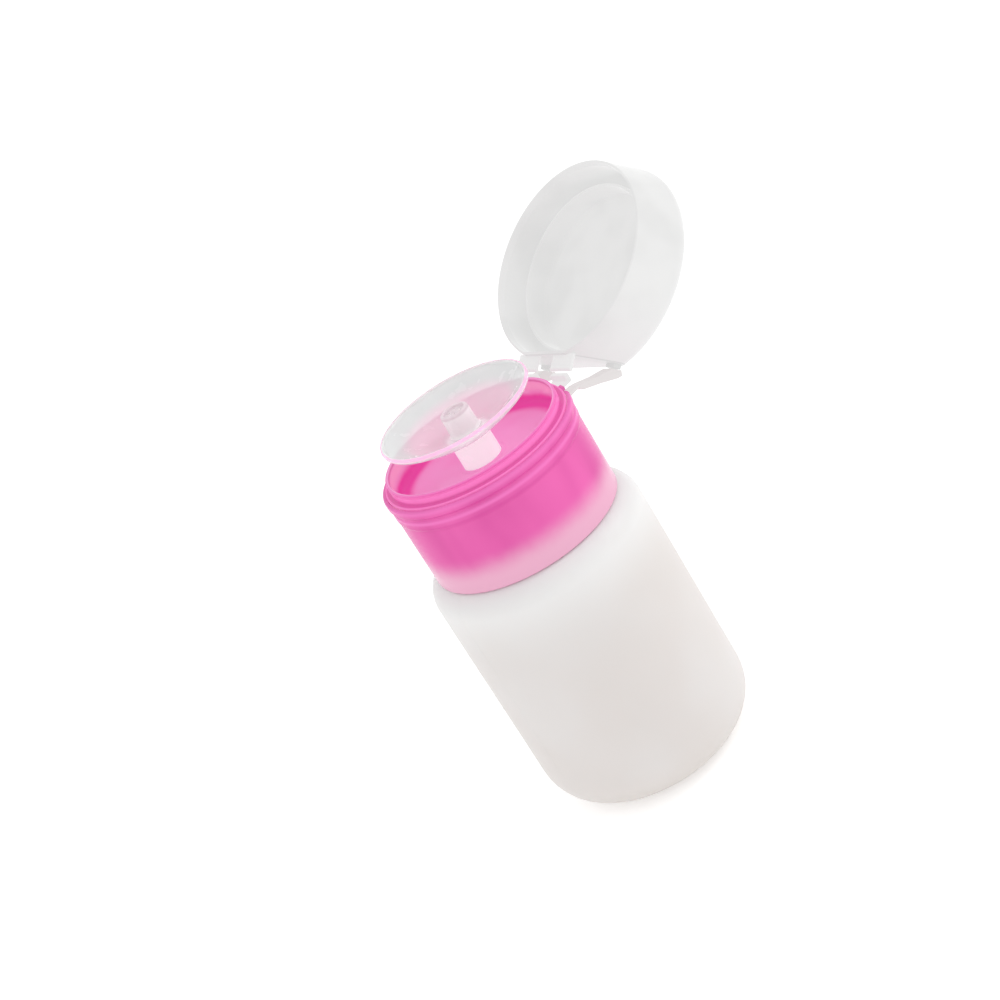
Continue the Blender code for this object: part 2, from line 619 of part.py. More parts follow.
def make_washers():
    """Neck gasket, piston retainer and stem wiper."""
    ring("neck_gasket", GASKET_INNER_RADIUS, NECK_RADIUS - GAP, GASKET_BASE,
         GASKET_BASE + GASKET_THICKNESS, INNER_SIDES,
         material("gasket_foam", (0.70, 0.70, 0.68), 0.8))
    outer = GUIDE_BORE - GAP
    inner = STEM_RADIUS + RUNNING_GAP
    ring("pump_retainer", inner, outer, RETAINER_BASE, RETAINER_BASE + RETAINER_THICKNESS,
         SMALL_SIDES, material("retainer_plastic", (0.78, 0.78, 0.77), 0.45))
    ring("stem_wiper", inner, outer, WIPER_BASE, WIPER_BASE + WIPER_THICKNESS,
         SMALL_SIDES, material("wiper_rubber", (0.25, 0.25, 0.26), 0.7))


def ring(name, inner, outer, low, high, sides, finish):
    outline = [(inner, low), (outer, low), (outer, high), (inner, high)]
    return add_object(name, lathe(outline, sides), finish)


def make_dip_tube():
    ring("dip_tube", TUBE_RADIUS - TUBE_WALL, TUBE_RADIUS, TUBE_END_HEIGHT,
         SOCKET_ROOF - GAP, SMALL_SIDES, material("tube_plastic", (0.88, 0.88, 0.87), 0.3))


def bowl_height(radius):
    """Height of the bowl's inside above its floor."""
    reach = (DISH_RADIUS - DISH_WALL - DISH_HUB_RADIUS)
    share = max(0.0, radius - DISH_HUB_RADIUS) / reach
    return (DISH_DEPTH - DISH_RIM_ROUND) * share ** BOWL_CURVE_SHARE


def make_dish():
    """The press dish: a shallow bowl round a hub."""
    hole = STEM_RADIUS + RUNNING_GAP
    inner_edge = DISH_RADIUS - DISH_WALL
    radii = [DISH_HUB_RADIUS + (inner_edge - DISH_HUB_RADIUS) * index / BOWL_STEPS
             for index in range(BOWL_STEPS + 1)]
    upper = [(radius, DISH_FLOOR + bowl_height(radius)) for radius in radii]
    lower = [(radius + DISH_WALL_SHIFT, DISH_BASE + bowl_height(radius)) for radius in radii]
    rim = arc(DISH_RADIUS - DISH_RIM_ROUND, DISH_RIM_HEIGHT - DISH_RIM_ROUND, DISH_RIM_ROUND,
              0, 150, 3)
    outline = [(hole, DISH_FLOOR)] + upper + rim[::-1] + lower[::-1] + [(hole, DISH_BASE)]
    add_object("dish", lathe(outline, BODY_SIDES),
               material("dish_plastic", (0.80, 0.76, 0.78), 0.25))


def make_nozzle():
    """The post in the dish with the small holes that wet the pad."""
    finish = material("nozzle_plastic", (0.82, 0.78, 0.79), 0.3)
    cavity = STEM_RADIUS + RUNNING_GAP
    top = NOZZLE_BASE + NOZZLE_HEIGHT
    outline = [(NOZZLE_RADIUS, NOZZLE_BASE)]
    outline += arc(NOZZLE_RADIUS - NOZZLE_ROUND, top - NOZZLE_ROUND, NOZZLE_ROUND, 0, 90, 2)
    outline += [(0, top), (0, top - NOZZLE_WALL), (cavity, top - NOZZLE_WALL)]
    outline += [(cavity, NOZZLE_BASE)]
    nozzle = add_object("nozzle_cap", lathe_capped(outline, SMALL_SIDES), finish)
    for index in range(NOZZLE_HOLE_COUNT):
        angle = math.tau * (index + 0.5) / NOZZLE_HOLE_COUNT
        bm = bmesh.new()
        bmesh.ops.create_cone(bm, cap_ends=True, segments=NOZZLE_HOLE_SIDES,
                              radius1=NOZZLE_HOLE, radius2=NOZZLE_HOLE,
                              depth=NOZZLE_WALL + 2 * CUT_OVERRUN)
        place = (NOZZLE_HOLE_CIRCLE * math.cos(angle), NOZZLE_HOLE_CIRCLE * math.sin(angle),
                 top - NOZZLE_WALL / 2)
        bmesh.ops.translate(bm, vec=place, verts=bm.verts[:])
        combine(nozzle, add_object(f"nozzle_hole_{index}", bm, finish), "DIFFERENCE")


def make_stem():
    """The sleeve seen under the dish, and the thin stem inside it."""
    finish = material("stem_plastic", (0.87, 0.74, 0.78), 0.3)
    ring("stem_sleeve", SLEEVE_RADIUS - SLEEVE_WALL, SLEEVE_RADIUS, SLEEVE_BASE, SLEEVE_TOP,
         INNER_SIDES, finish)
    ring("pump_stem", STEM_BORE, STEM_RADIUS, STEM_BASE, STEM_TOP, SMALL_SIDES, finish)


def make_piston():
    """The piston with its seal groove and the chamber of the outlet ball."""
    groove_low = PISTON_BASE + (PISTON_LENGTH - SEAL_THICKNESS) / 2 - GAP
    groove_high = groove_low + SEAL_THICKNESS + 2 * GAP
    floor = PISTON_BASE + OUTLET_FLOOR
    outline = [(STEM_BORE, PISTON_BASE), (PISTON_RADIUS, PISTON_BASE)]
    outline += [(PISTON_RADIUS, groove_low), (SEAL_GROOVE, groove_low)]
    outline += [(SEAL_GROOVE, groove_high), (PISTON_RADIUS, groove_high)]
    outline += [(PISTON_RADIUS, PISTON_TOP), (OUTLET_CHAMBER, PISTON_TOP)]
    outline += [(OUTLET_CHAMBER, floor), (STEM_BORE, floor)]
    add_object("piston", lathe(outline, SMALL_SIDES),
               material("piston_plastic", (0.75, 0.75, 0.76), 0.4))
    ring("piston_seal", SEAL_GROOVE + GAP, SEAL_RADIUS, groove_low + GAP, groove_high - GAP,
         SMALL_SIDES, material("seal_rubber", (0.18, 0.18, 0.19), 0.7))
    seat = math.sqrt(OUTLET_BALL ** 2 - STEM_BORE ** 2)
    ball("outlet_ball", OUTLET_BALL, floor + seat + GAP)


def ball(name, radius, height):
    bm = bmesh.new()
    bmesh.ops.create_icosphere(bm, subdivisions=2, radius=radius)
    bmesh.ops.translate(bm, vec=(0, 0, height), verts=bm.verts[:])
    return add_object(name, bm, material(f"{name}_steel", (0.72, 0.72, 0.73), 0.2, 1.0))


def make_inlet():
    """Inlet ball on its cone, the ring over it and the return spring."""
    slope = math.atan2(SEAT_CONE, CHAMBER_BORE - INLET_HOLE)
    rest = SEAT_BASE + (INLET_BALL + GAP) / math.cos(slope) - INLET_HOLE * math.tan(slope)
    ball("inlet_ball", INLET_BALL, rest)
    seat_low = rest + INLET_BALL + INLET_LIFT + GAP
    seat_high = seat_low + SPRING_SEAT_THICKNESS
    ring("spring_seat", SPRING_SEAT_HOLE, CHAMBER_BORE - GAP, seat_low, seat_high,
         SMALL_SIDES, material("seat_plastic", (0.80, 0.80, 0.79), 0.4))
    low = seat_high + GAP + SPRING_WIRE
    high = PISTON_BASE - GAP - SPRING_WIRE
    curve = bpy.data.curves.new("return_spring", "CURVE")
    curve.dimensions = "3D"
    curve.bevel_depth = SPRING_WIRE
    curve.bevel_resolution = 1
    curve.use_fill_caps = True
    count = SPRING_TURNS * SPRING_TURN_POINTS
    spline = curve.splines.new("POLY")
    spline.points.add(count)
    for index in range(count + 1):
        share = index / count
        angle = math.tau * SPRING_TURNS * share
        spline.points[index].co = (SPRING_RADIUS * math.cos(angle),
                                   SPRING_RADIUS * math.sin(angle),
                                   low + (high - low) * share, 1.0)
    curve.materials.append(material("spring_steel", (0.65, 0.65, 0.66), 0.25, 1.0))
    spring = bpy.data.objects.new("return_spring", curve)
    bpy.context.scene.collection.objects.link(spring)


def main():
    for old in list(bpy.data.objects):
        bpy.data.objects.remove(old, do_unlink=True)
    make_inner_cap(make_bottle())
    make_collar_skirt()
    make_collar_well()
    make_hinge_ring()
    make_lid(axis_empty("lid_axis", (HINGE_OFFSET, 0, HINGE_HEIGHT), LID_OPEN_ANGLE))
    make_straps()
    make_pump_housing()
    make_washers()
    make_dip_tube()
    make_dish()
    make_nozzle()
    make_stem()
    make_piston()
    make_inlet()


main()
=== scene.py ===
# %% [markdown]
# # A push-down remover bottle in Blender
#
# The object is a small milky bottle with a pink screw collar. A frosted dish stands on a hollow
# stem in the collar: pressing it with a cotton pad pumps the liquid up through the nozzle. A
# white flip lid hangs open on a snap hinge. The sizes and the joints come from a imported model,
# and this script makes the fine surfaces, the finishes, the studio and the camera. The first
# cell loads the imported model and keeps its parts, whose boxes are read later.

import json
import math

import bmesh
import bpy
from mathutils import Matrix, Vector


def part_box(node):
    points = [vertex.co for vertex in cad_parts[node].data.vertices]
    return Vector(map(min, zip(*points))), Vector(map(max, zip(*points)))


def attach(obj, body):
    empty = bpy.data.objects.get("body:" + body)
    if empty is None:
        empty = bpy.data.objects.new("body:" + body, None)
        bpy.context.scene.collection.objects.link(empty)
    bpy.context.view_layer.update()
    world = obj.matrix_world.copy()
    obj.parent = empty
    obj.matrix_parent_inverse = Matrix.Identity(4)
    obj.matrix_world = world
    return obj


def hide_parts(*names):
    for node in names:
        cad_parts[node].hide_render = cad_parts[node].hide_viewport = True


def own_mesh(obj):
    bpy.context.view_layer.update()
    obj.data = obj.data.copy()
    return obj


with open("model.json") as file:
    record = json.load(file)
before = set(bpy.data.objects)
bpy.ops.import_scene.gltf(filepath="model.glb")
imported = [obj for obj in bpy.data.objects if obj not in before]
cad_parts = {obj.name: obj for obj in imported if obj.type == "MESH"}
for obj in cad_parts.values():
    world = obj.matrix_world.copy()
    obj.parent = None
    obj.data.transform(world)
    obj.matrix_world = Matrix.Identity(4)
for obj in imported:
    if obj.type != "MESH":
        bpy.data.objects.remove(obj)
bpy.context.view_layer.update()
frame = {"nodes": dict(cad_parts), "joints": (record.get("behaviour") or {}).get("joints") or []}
MM = 0.001

# %% [markdown]
# ## Camera
#
# The photograph was taken from above, with the picture then turned so that the bottle leans to
# the left. A camera that looks down and is rolled by the same angle gives that view, and the
# bottle itself stays upright on its foot. The numbers were found by matching the rims of the
# bottle, collar, dish and lid.

# %% Camera
AIM = Vector((-1.38, 0.81, 71.2)) * MM
DISTANCE = 453.9 * MM
ELEVATION = math.radians(23.72)
HINGE_TURN = math.radians(30.4)
LEAN = math.radians(31.89)
LENS = 77.72
SENSOR = 36.0


def make_camera():
    """A camera that looks down at the collar and is rolled like the photograph."""
    data = bpy.data.cameras.new("photo_camera")
    data.lens = LENS
    data.sensor_width = SENSOR
    data.clip_end = 100.0
    camera = bpy.data.objects.new("photo_camera", data)
    turn = Matrix.Rotation(-HINGE_TURN, 4, "Z") @ Matrix.Rotation(math.pi / 2 - ELEVATION, 4, "X")
    look = turn @ Vector((0, 0, -1))
    camera.matrix_world = (Matrix.Translation(AIM - look * DISTANCE) @ turn
                           @ Matrix.Rotation(-LEAN, 4, "Z"))
    bpy.context.scene.collection.objects.link(camera)
    bpy.context.scene.camera = camera
    return camera


camera = make_camera()
print("camera at", [round(value / MM) for value in camera.location], "mm")

# %% [markdown]
# ## Shader expressions
#
# A material is easier to read as a formula than as a list of links. `Wire` holds one socket, and
# Python's own signs on wires add Math nodes. `Paint` is a material under way: `node` adds any
# node from its type, its settings and what goes into its sockets, and `mix` blends two colours.

# %% Wire and Paint
class Wire:
    """One output socket, on which Python's own signs add Math nodes."""

    def __init__(self, paint, socket):
        self.paint = paint
        self.socket = socket

    def maths(self, operation, *others):
        inputs = dict(enumerate((self, *others)))
        return self.paint.node("ShaderNodeMath", {"operation": operation}, inputs)

    def __add__(self, other):
        return self.maths("ADD", other)

    def __sub__(self, other):
        return self.maths("SUBTRACT", other)

    def __mul__(self, other):
        return self.maths("MULTIPLY", other)

    def __rsub__(self, other):
        return self.maths("MULTIPLY", -1).maths("ADD", other)

    __radd__ = __add__
    __rmul__ = __mul__


class Paint:
    """A material under way, with one method for any node."""

    def __init__(self, name, **constants):
        self.material = bpy.data.materials.new(name)
        self.material.use_nodes = True
        self.tree = self.material.node_tree
        self.shader = self.tree.nodes["Principled BSDF"]
        for socket, value in constants.items():
            self.shader.inputs[socket.replace("_", " ")].default_value = value
        self.place = self.node("ShaderNodeTexCoord", {}, {}, "Object")
        self.height = self.node("ShaderNodeSeparateXYZ", {}, {0: self.place}, "Z")
        level = self.node("ShaderNodeMapping", {}, {0: self.place, 3: (1, 1, 0)})
        self.radius = self.node("ShaderNodeVectorMath", {"operation": "LENGTH"}, {0: level},
                                "Value")

    def node(self, kind, settings, inputs, output=0):
        made = self.tree.nodes.new(kind)
        for setting, value in settings.items():
            setattr(made, setting, value)
        for socket, value in inputs.items():
            self.feed(made.inputs[socket], value)
        return Wire(self, made.outputs[output])

    def feed(self, socket, value):
        if isinstance(value, Wire):
            self.tree.links.new(value.socket, socket)
        else:
            socket.default_value = value

    def mix(self, share, first, second):
        return self.node("ShaderNodeMix", {"data_type": "RGBA"}, {0: share, 6: first, 7: second}, 2)

    def noise(self, size, detail=2.0, stretch=(1, 1, 1)):
        """Noise between 0 and 1 whose patches are about one size across."""
        place = self.node("ShaderNodeMapping", {}, {0: self.place, 3: stretch})
        return self.node("ShaderNodeTexNoise", {}, {0: place, "Scale": 1 / size, "Detail": detail})

    def rise(self, value, low, high):
        """0 below low, 1 above high and smooth between them."""
        return self.node("ShaderNodeMapRange", {"interpolation_type": "SMOOTHERSTEP"},
                         {0: value, 1: low, 2: high, 3: 0.0, 4: 1.0})

    def wear(self, colour, roughness, bumps):
        """Join colour, roughness and bump heights to the shader and return the material."""
        self.feed(self.shader.inputs["Base Color"], colour)
        self.feed(self.shader.inputs["Roughness"], roughness)
        normal = None
        for height, depth in bumps:
            inputs = {"Strength": 1.0, "Distance": depth, "Height": height}
            if normal is not None:
                inputs["Normal"] = normal
            normal = self.node("ShaderNodeBump", {}, inputs)
        self.feed(self.shader.inputs["Normal"], normal)
        return self.material


print("shader helpers ready")

# %% [markdown]
# ## Turned shapes
#
# Nearly every piece of a moulded bottle is turned round one axis. `rounded` walks round an
# outline of corners, each with its own fillet, as a mould maker rounds every edge. `turned` spins
# that outline with `bmesh.ops.spin`. An outline that starts and ends on the axis closes there,
# and any other outline is a ring.

# %% Outline and spin helpers
TURN_STEPS = 144
MERGE = 0.0004 * MM
SHARP = math.radians(40)


def rounded(corners, steps=5):
    """Replace each corner (radius, height, fillet) by an arc that meets both its edges."""
    outline = []
    count = len(corners)
    for index, (radius, height, fillet) in enumerate(corners):
        corner = Vector((radius, height))
        before = Vector(corners[index - 1][:2]) - corner
        after = Vector(corners[(index + 1) % count][:2]) - corner
        if fillet == 0:
            outline.append(corner)
            continue
        half = before.angle(after) / 2
        run = fillet / math.tan(half)
        inward = (before.normalized() + after.normalized()).normalized()
        middle = corner + inward * fillet / math.sin(half)
        first = corner + before.normalized() * run - middle
        last = corner + after.normalized() * run - middle
        turn = math.atan2(first.cross(last), first.dot(last))
        for step in range(steps + 1):
            outline.append(middle + Matrix.Rotation(turn * step / steps, 2) @ first)
    return outline


def turned(outline, steps=TURN_STEPS):
    """Spin an outline of (radius, height) round the Z axis into a closed surface."""
    bm = bmesh.new()
    points = [bm.verts.new((point[0], 0, point[1])) for point in outline]
    on_axis = outline[0][0] == 0 and outline[-1][0] == 0
    for first, second in zip(points, points[1:] + ([] if on_axis else points[:1])):
        bm.edges.new((first, second))
    bmesh.ops.spin(bm, geom=bm.verts[:] + bm.edges[:], cent=(0, 0, 0), axis=(0, 0, 1),
                   angle=math.tau, steps=steps, use_merge=True)
    bmesh.ops.remove_doubles(bm, verts=bm.verts[:], dist=MERGE)
    bmesh.ops.recalc_face_normals(bm, faces=bm.faces[:])
    return bm


print("a full turn takes", TURN_STEPS, "steps")

# %% [markdown]
# ## Pieces
#
# `show` makes a piece of the visual model out of a shape. It shades the mesh, gives it a material,
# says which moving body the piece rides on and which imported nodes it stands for. `low` and `high`
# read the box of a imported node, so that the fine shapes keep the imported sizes.

# %% Piece helpers
def placed(name, bm):
    """Turn a bmesh into an object of the scene."""
    mesh = bpy.data.meshes.new(name)
    bm.to_mesh(mesh)
    bm.free()
    made = bpy.data.objects.new(name, mesh)
    bpy.context.scene.collection.objects.link(made)
    return made


def smooth(mesh):
    """Shade a mesh smoothly, except where it turns sharply."""
    mesh.shade_smooth()
    mesh.set_sharp_from_angle(angle=SHARP)


def show(name, bm, material, body, slot, *nodes):
    """Make a shaded piece that rides on a body and stands for the nodes it names."""
    piece = placed(name, bm)
    smooth(piece.data)
    piece.data.materials.append(material)
    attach(piece, body)
    if nodes:
        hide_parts(*nodes)
    print(name, len(piece.data.polygons), "faces")
    return piece


def low(node, axis=2):
    """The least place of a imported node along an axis."""
    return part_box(node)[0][axis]


def high(node, axis=2):
    """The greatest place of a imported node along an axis."""
    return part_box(node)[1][axis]


print("bottle from", round(low("bottle") / MM, 2), "to", round(high("bottle") / MM, 2), "mm")

# %% [markdown]
# ## Bottle
#
# The bottle is blown polyethylene: milky, a little warm and never quite even, because the wall
# is thicker in some places than in others. Large soft patches of noise tint it, a fine noise
# gives the skin, and a faint line runs where the mould's halves met. Painted light makes it
# paler towards the collar, and painted shade darkens its foot.

# %% Bottle material
BOTTLE_WARM = (0.690, 0.650, 0.628, 1)
BOTTLE_COOL = (0.708, 0.676, 0.660, 1)
BOTTLE_FOOT_SHADE = (0.600, 0.560, 0.530, 1)
BOTTLE_TOP_LIGHT = (0.830, 0.825, 0.820, 1)
PATCH_SIZE = 26 * MM
FOOT_SHADE_TOP = 12 * MM
TOP_LIGHT_FROM = 42 * MM
TOP_LIGHT_FULL = 68 * MM
PARTING_WIDTH = 0.25 * MM


def milky_plastic():
    paint = Paint("milky_bottle", Subsurface_Weight=0.25, Subsurface_Radius=(1.0, 0.9, 0.85),
                  Subsurface_Scale=3 * MM, IOR=1.5, Specular_IOR_Level=0.35)
    patches = paint.rise(paint.noise(PATCH_SIZE, 1.0), 0.35, 0.65)
    colour = paint.mix(patches, BOTTLE_WARM, BOTTLE_COOL)
    # Painted shade: the colour darkens towards the foot.
    foot = 1 - paint.rise(paint.height, 0.0, FOOT_SHADE_TOP)
    colour = paint.mix(foot * 0.7, colour, BOTTLE_FOOT_SHADE)
    # Painted light: the colour grows paler towards the collar.
    pale = paint.rise(paint.height, TOP_LIGHT_FROM, TOP_LIGHT_FULL)
    colour = paint.mix(pale, colour, BOTTLE_TOP_LIGHT)
    skin = paint.noise(1.6 * MM, 3.0)
    across = paint.node("ShaderNodeSeparateXYZ", {}, {0: paint.place}, "Y").maths("ABSOLUTE")
    seam = 1 - paint.rise(across, 0.0, PARTING_WIDTH)
    roughness = paint.noise(8 * MM, 3.0) * 0.12 + 0.36
    return paint.wear(colour, roughness, [(skin, 0.012 * MM), (seam, 0.05 * MM)])


bottle_material = milky_plastic()
print("bottle material", len(bottle_material.node_tree.nodes), "nodes")

# %% [markdown]
# The outline runs from the middle of the foot, up the outside, over the neck and down the inside.
# The neck's thread is a ridge that climbs one pitch a turn, made by pushing the rows of the neck
# outwards along that helix.

# %% Bottle shape
BOTTLE_RADIUS = high("bottle", 0)
BOTTLE_WALL = 1.2 * MM
FOOT_ROUND = 10.5 * MM
FOOT_GROOVE = 11.6 * MM
GROOVE_WIDTH = 1.0 * MM
GROOVE_DEPTH = 0.3 * MM
SHOULDER = 62.3 * MM
SHOULDER_ROUND = 5.4 * MM
NECK_RADIUS = 9.6 * MM
NECK_WALL = 1.4 * MM
NECK_TOP = high("bottle")
NECK_FOOT = SHOULDER + 1.2 * MM
THREAD_LOW = SHOULDER + 3.4 * MM
THREAD_HIGH = THREAD_LOW + 9.5 * MM
THREAD_PITCH = 3.5 * MM
THREAD_HEIGHT = 0.7 * MM
THREAD_HALF = 0.8 * MM
THREAD_ROWS = 48


def cut_thread(bm):
    """Push the neck's rows out where the helix passes."""
    for vert in bm.verts:
        radius = math.hypot(vert.co.x, vert.co.y)
        if abs(radius - NECK_RADIUS) > 10 * MERGE or not THREAD_LOW < vert.co.z < THREAD_HIGH:
            continue
        climb = vert.co.z - THREAD_LOW
        turns = climb / THREAD_PITCH - math.atan2(vert.co.y, vert.co.x) / math.tau
        off = abs(turns - round(turns)) * THREAD_PITCH
        if off < THREAD_HALF:
            fade = min(1, climb / MM, (THREAD_HIGH - vert.co.z) / MM)
            ridge = THREAD_HEIGHT * fade * (0.5 + 0.5 * math.cos(math.pi * off / THREAD_HALF))
            vert.co.xy *= 1 + ridge / radius


def bottle_shape():
    bore = NECK_RADIUS - NECK_WALL
    inner = BOTTLE_RADIUS - BOTTLE_WALL
    rows = [(NECK_RADIUS, THREAD_LOW + (THREAD_HIGH - THREAD_LOW) * row / THREAD_ROWS, 0)
            for row in range(THREAD_ROWS + 1)]
    edge = 0.1 * MM
    mouth = 0.3 * MM
    groove_end = FOOT_GROOVE + GROOVE_WIDTH
    corners = [(0, 0, 0), (FOOT_GROOVE - GROOVE_DEPTH, 0, edge)]
    corners += [(FOOT_GROOVE, GROOVE_DEPTH, edge), (groove_end, GROOVE_DEPTH, edge)]
    corners += [(groove_end + GROOVE_DEPTH, 0, edge), (BOTTLE_RADIUS, 0, FOOT_ROUND)]
    corners += [(BOTTLE_RADIUS, SHOULDER, SHOULDER_ROUND)]
    corners += [(NECK_RADIUS, NECK_FOOT, 1.2 * MM)] + rows
    corners += [(NECK_RADIUS, NECK_TOP, mouth), (bore, NECK_TOP, mouth)]
    corners += [(bore, SHOULDER, MM), (inner, SHOULDER - BOTTLE_WALL, SHOULDER_ROUND - BOTTLE_WALL)]
    corners += [(inner, BOTTLE_WALL, FOOT_ROUND - BOTTLE_WALL), (0, BOTTLE_WALL, 0)]
    bm = turned(rounded(corners, steps=12))
    cut_thread(bm)
    return bm


show("bottle_skin", bottle_shape(), bottle_material, "base", "bottle_plastic", "bottle")

# %% [markdown]
# ## Pink collar
#
# The collar is thin tinted plastic. Its lowest few millimetres are one wall in front of the
# bottle's white shoulder, so they look pale, and above them the wall is backed by more pink and
# looks deep. The well's corner, where its wall meets its floor, gets painted shade. Both changes
# go by height, soft and slightly uneven, and the well's also by radius. A little glow stands for
# the light that such a wall lets through. A band is a ring of colour at one height between two
# radii: painted highlights lie on the ridges and painted light on the well's wall, and painted
# shade lies under the flange and at the lip.

# %% Collar places
COLLAR_FOOT = low("collar_skirt")
SHELF = high("collar_skirt")
FLANGE_RADIUS = high("collar_skirt", 1)
WELL_RADIUS = 19.4 * MM
WELL_OUTSIDE = 20.0 * MM
WELL_FLOOR = low("collar_well") + 0.5 * MM
LIP_TOP = high("collar_well")
COVER_TOP = LIP_TOP - 2.3 * MM
PALE_TOP = COLLAR_FOOT + 5.0 * MM
PALE_FADE = (PALE_TOP - 3.0 * MM, PALE_TOP + 4.6 * MM)
CORNER_REACH = (15.4 * MM, 18.6 * MM)
CORNER_FADE = (WELL_FLOOR + 1.0 * MM, WELL_FLOOR + 3.0 * MM)
ALL_ROUND = (0, MM)
BAND_EDGE = 0.3 * MM
OUTERMOST = FLANGE_RADIUS + MM
print("collar from", round(COLLAR_FOOT / MM, 1), "to", round(LIP_TOP / MM, 1), "mm")

# %% Collar materials
COLLAR_PINK = (0.785, 0.140, 0.430, 1)
COLLAR_DEEP = (0.670, 0.098, 0.355, 1)
COLLAR_PALE = (0.775, 0.410, 0.560, 1)
# Painted light and shade: the ridge colour is a painted highlight and the wall colour painted
# light; the lip, groove and well corner colours are painted shade.
RIDGE_HIGHLIGHT = (0.860, 0.205, 0.545, 1)
WELL_PINK = (0.890, 0.375, 0.680, 1)
WELL_SOFT = (0.880, 0.325, 0.635, 1)
WELL_CORNER_SHADE = (0.840, 0.098, 0.450, 1)
WALL_LIGHT = (0.960, 0.500, 0.720, 1)
LIP_SHADE = (0.825, 0.190, 0.515, 1)
GROOVE_SHADE = (0.560, 0.050, 0.270, 1)


def tinted_plastic(name, light, deep, alpha, glow, shade, reach, fade, bands):
    """Part-clear pink plastic with a soft change to a shade, bands of painted light and shade,
    and flow marks.

    The shade grows over the two radii of reach and ends between the two heights of fade; in the
    well it is painted shade in the corner. Each band has a height, the half width over which it
    fades, its least and greatest radius, a colour and a share.
    """
    paint = Paint(name, IOR=1.3, Specular_IOR_Level=0.18, Alpha=alpha, Emission_Strength=glow)
    flow = paint.noise(14 * MM, 2.0, (1, 1, 0.35))
    colour = paint.mix(paint.rise(flow, 0.3, 0.7), deep, light)
    uneven = paint.height + (paint.noise(5 * MM, 3.0) - 0.5) * (1.6 * MM)
    share = paint.rise(paint.radius, *reach) * (1 - paint.rise(uneven, *fade))
    colour = paint.mix(share, colour, shade)
    for height, half, inner, outer, band, strength in bands:
        away = (paint.height - height).maths("ABSOLUTE")
        inside = paint.rise(paint.radius, inner - BAND_EDGE, inner)
        share = (1 - paint.rise(away, 0.0, half)) * inside
        share = share * (1 - paint.rise(paint.radius, outer, outer + BAND_EDGE))
        colour = paint.mix(share * strength, colour, band)
    paint.feed(paint.shader.inputs["Emission Color"], colour)
    gloss = paint.noise(5 * MM, 3.0) * 0.08 + 0.2
    return paint.wear(colour, gloss, [(paint.noise(3 * MM, 2.0), 0.004 * MM)])


# The skirt's light bands are painted highlights on its bead and ridge; its dark bands are painted
# shade in the undercuts.
SKIRT_BANDS = [(SHELF - 0.4 * MM, 1.2 * MM, 0, OUTERMOST, RIDGE_HIGHLIGHT, 0.65),
               (SHELF - 3.2 * MM, 0.9 * MM, 0, OUTERMOST, RIDGE_HIGHLIGHT, 0.8),
               (SHELF - 1.9 * MM, 0.6 * MM, 0, OUTERMOST, GROOVE_SHADE, 0.45),
               (SHELF - 4.9 * MM, 0.9 * MM, 0, OUTERMOST, GROOVE_SHADE, 0.35)]
# The well's bands are painted light on its wall and painted shade on the lip's outside, under the
# lip's top and at the lip's foot.
WELL_BANDS = [(WELL_FLOOR + 4.2 * MM, 2.4 * MM, 0, WELL_RADIUS + 0.1 * MM, WALL_LIGHT, 1.0),
              (LIP_TOP - 1.2 * MM, 4.0 * MM, WELL_OUTSIDE, OUTERMOST, LIP_SHADE, 1.0),
              (LIP_TOP - 0.35 * MM, 0.5 * MM, 0, OUTERMOST, GROOVE_SHADE, 0.5),
              (COVER_TOP, 0.9 * MM, WELL_OUTSIDE, WELL_OUTSIDE + 0.9 * MM, GROOVE_SHADE, 0.6)]
collar_material = tinted_plastic("collar_pink", COLLAR_PINK, COLLAR_DEEP, alpha=0.92, glow=0.08,
                                 shade=COLLAR_PALE, reach=ALL_ROUND, fade=PALE_FADE,
                                 bands=SKIRT_BANDS)
well_material = tinted_plastic("well_pink", WELL_PINK, WELL_SOFT, alpha=0.88, glow=0.20,
                               shade=WELL_CORNER_SHADE, reach=CORNER_REACH, fade=CORNER_FADE,
                               bands=WELL_BANDS)
print("collar materials ready with", len(SKIRT_BANDS) + len(WELL_BANDS), "bands")

# %% [markdown]
# ## Straight shapes and cuts
#
# `slab` extrudes a flat outline and rounds its edges. `carve` cuts such a shape out of a piece
# with a Boolean modifier and keeps the result as the piece's mesh. A cut can leave points side by
# side with slivers between them, which `clean` merges, so that the mesh stays closed.

# %% Slab and cut helpers
SLIVER = 0.003 * MM


def rounded_edges(bm, edges, rounding, segments):
    """Round some edges of a shape."""
    bmesh.ops.bevel(bm, geom=edges, offset=rounding, offset_type="OFFSET", affect="EDGES",
                    segments=segments, profile=0.5, material=-1, clamp_overlap=True)


def slab(points, along, rounding):
    """Extrude a flat outline along a vector and round its edges."""
    bm = bmesh.new()
    face = bm.faces.new([bm.verts.new(point) for point in points])
    grown = bmesh.ops.extrude_face_region(bm, geom=[face])["geom"]
    ends = [item for item in grown if isinstance(item, bmesh.types.BMVert)]
    bmesh.ops.translate(bm, vec=along, verts=ends)
    bmesh.ops.recalc_face_normals(bm, faces=bm.faces[:])
    if rounding:
        edges = [edge for edge in bm.edges if edge.calc_face_angle(0) > SHARP]
        rounded_edges(bm, edges, rounding, 3)
    return bm


def clean(bm):
    """Merge points that a cut left side by side and drop the slivers between them."""
    bmesh.ops.remove_doubles(bm, verts=bm.verts[:], dist=SLIVER)
    bmesh.ops.dissolve_degenerate(bm, dist=SLIVER, edges=bm.edges[:])
    bmesh.ops.recalc_face_normals(bm, faces=bm.faces[:])


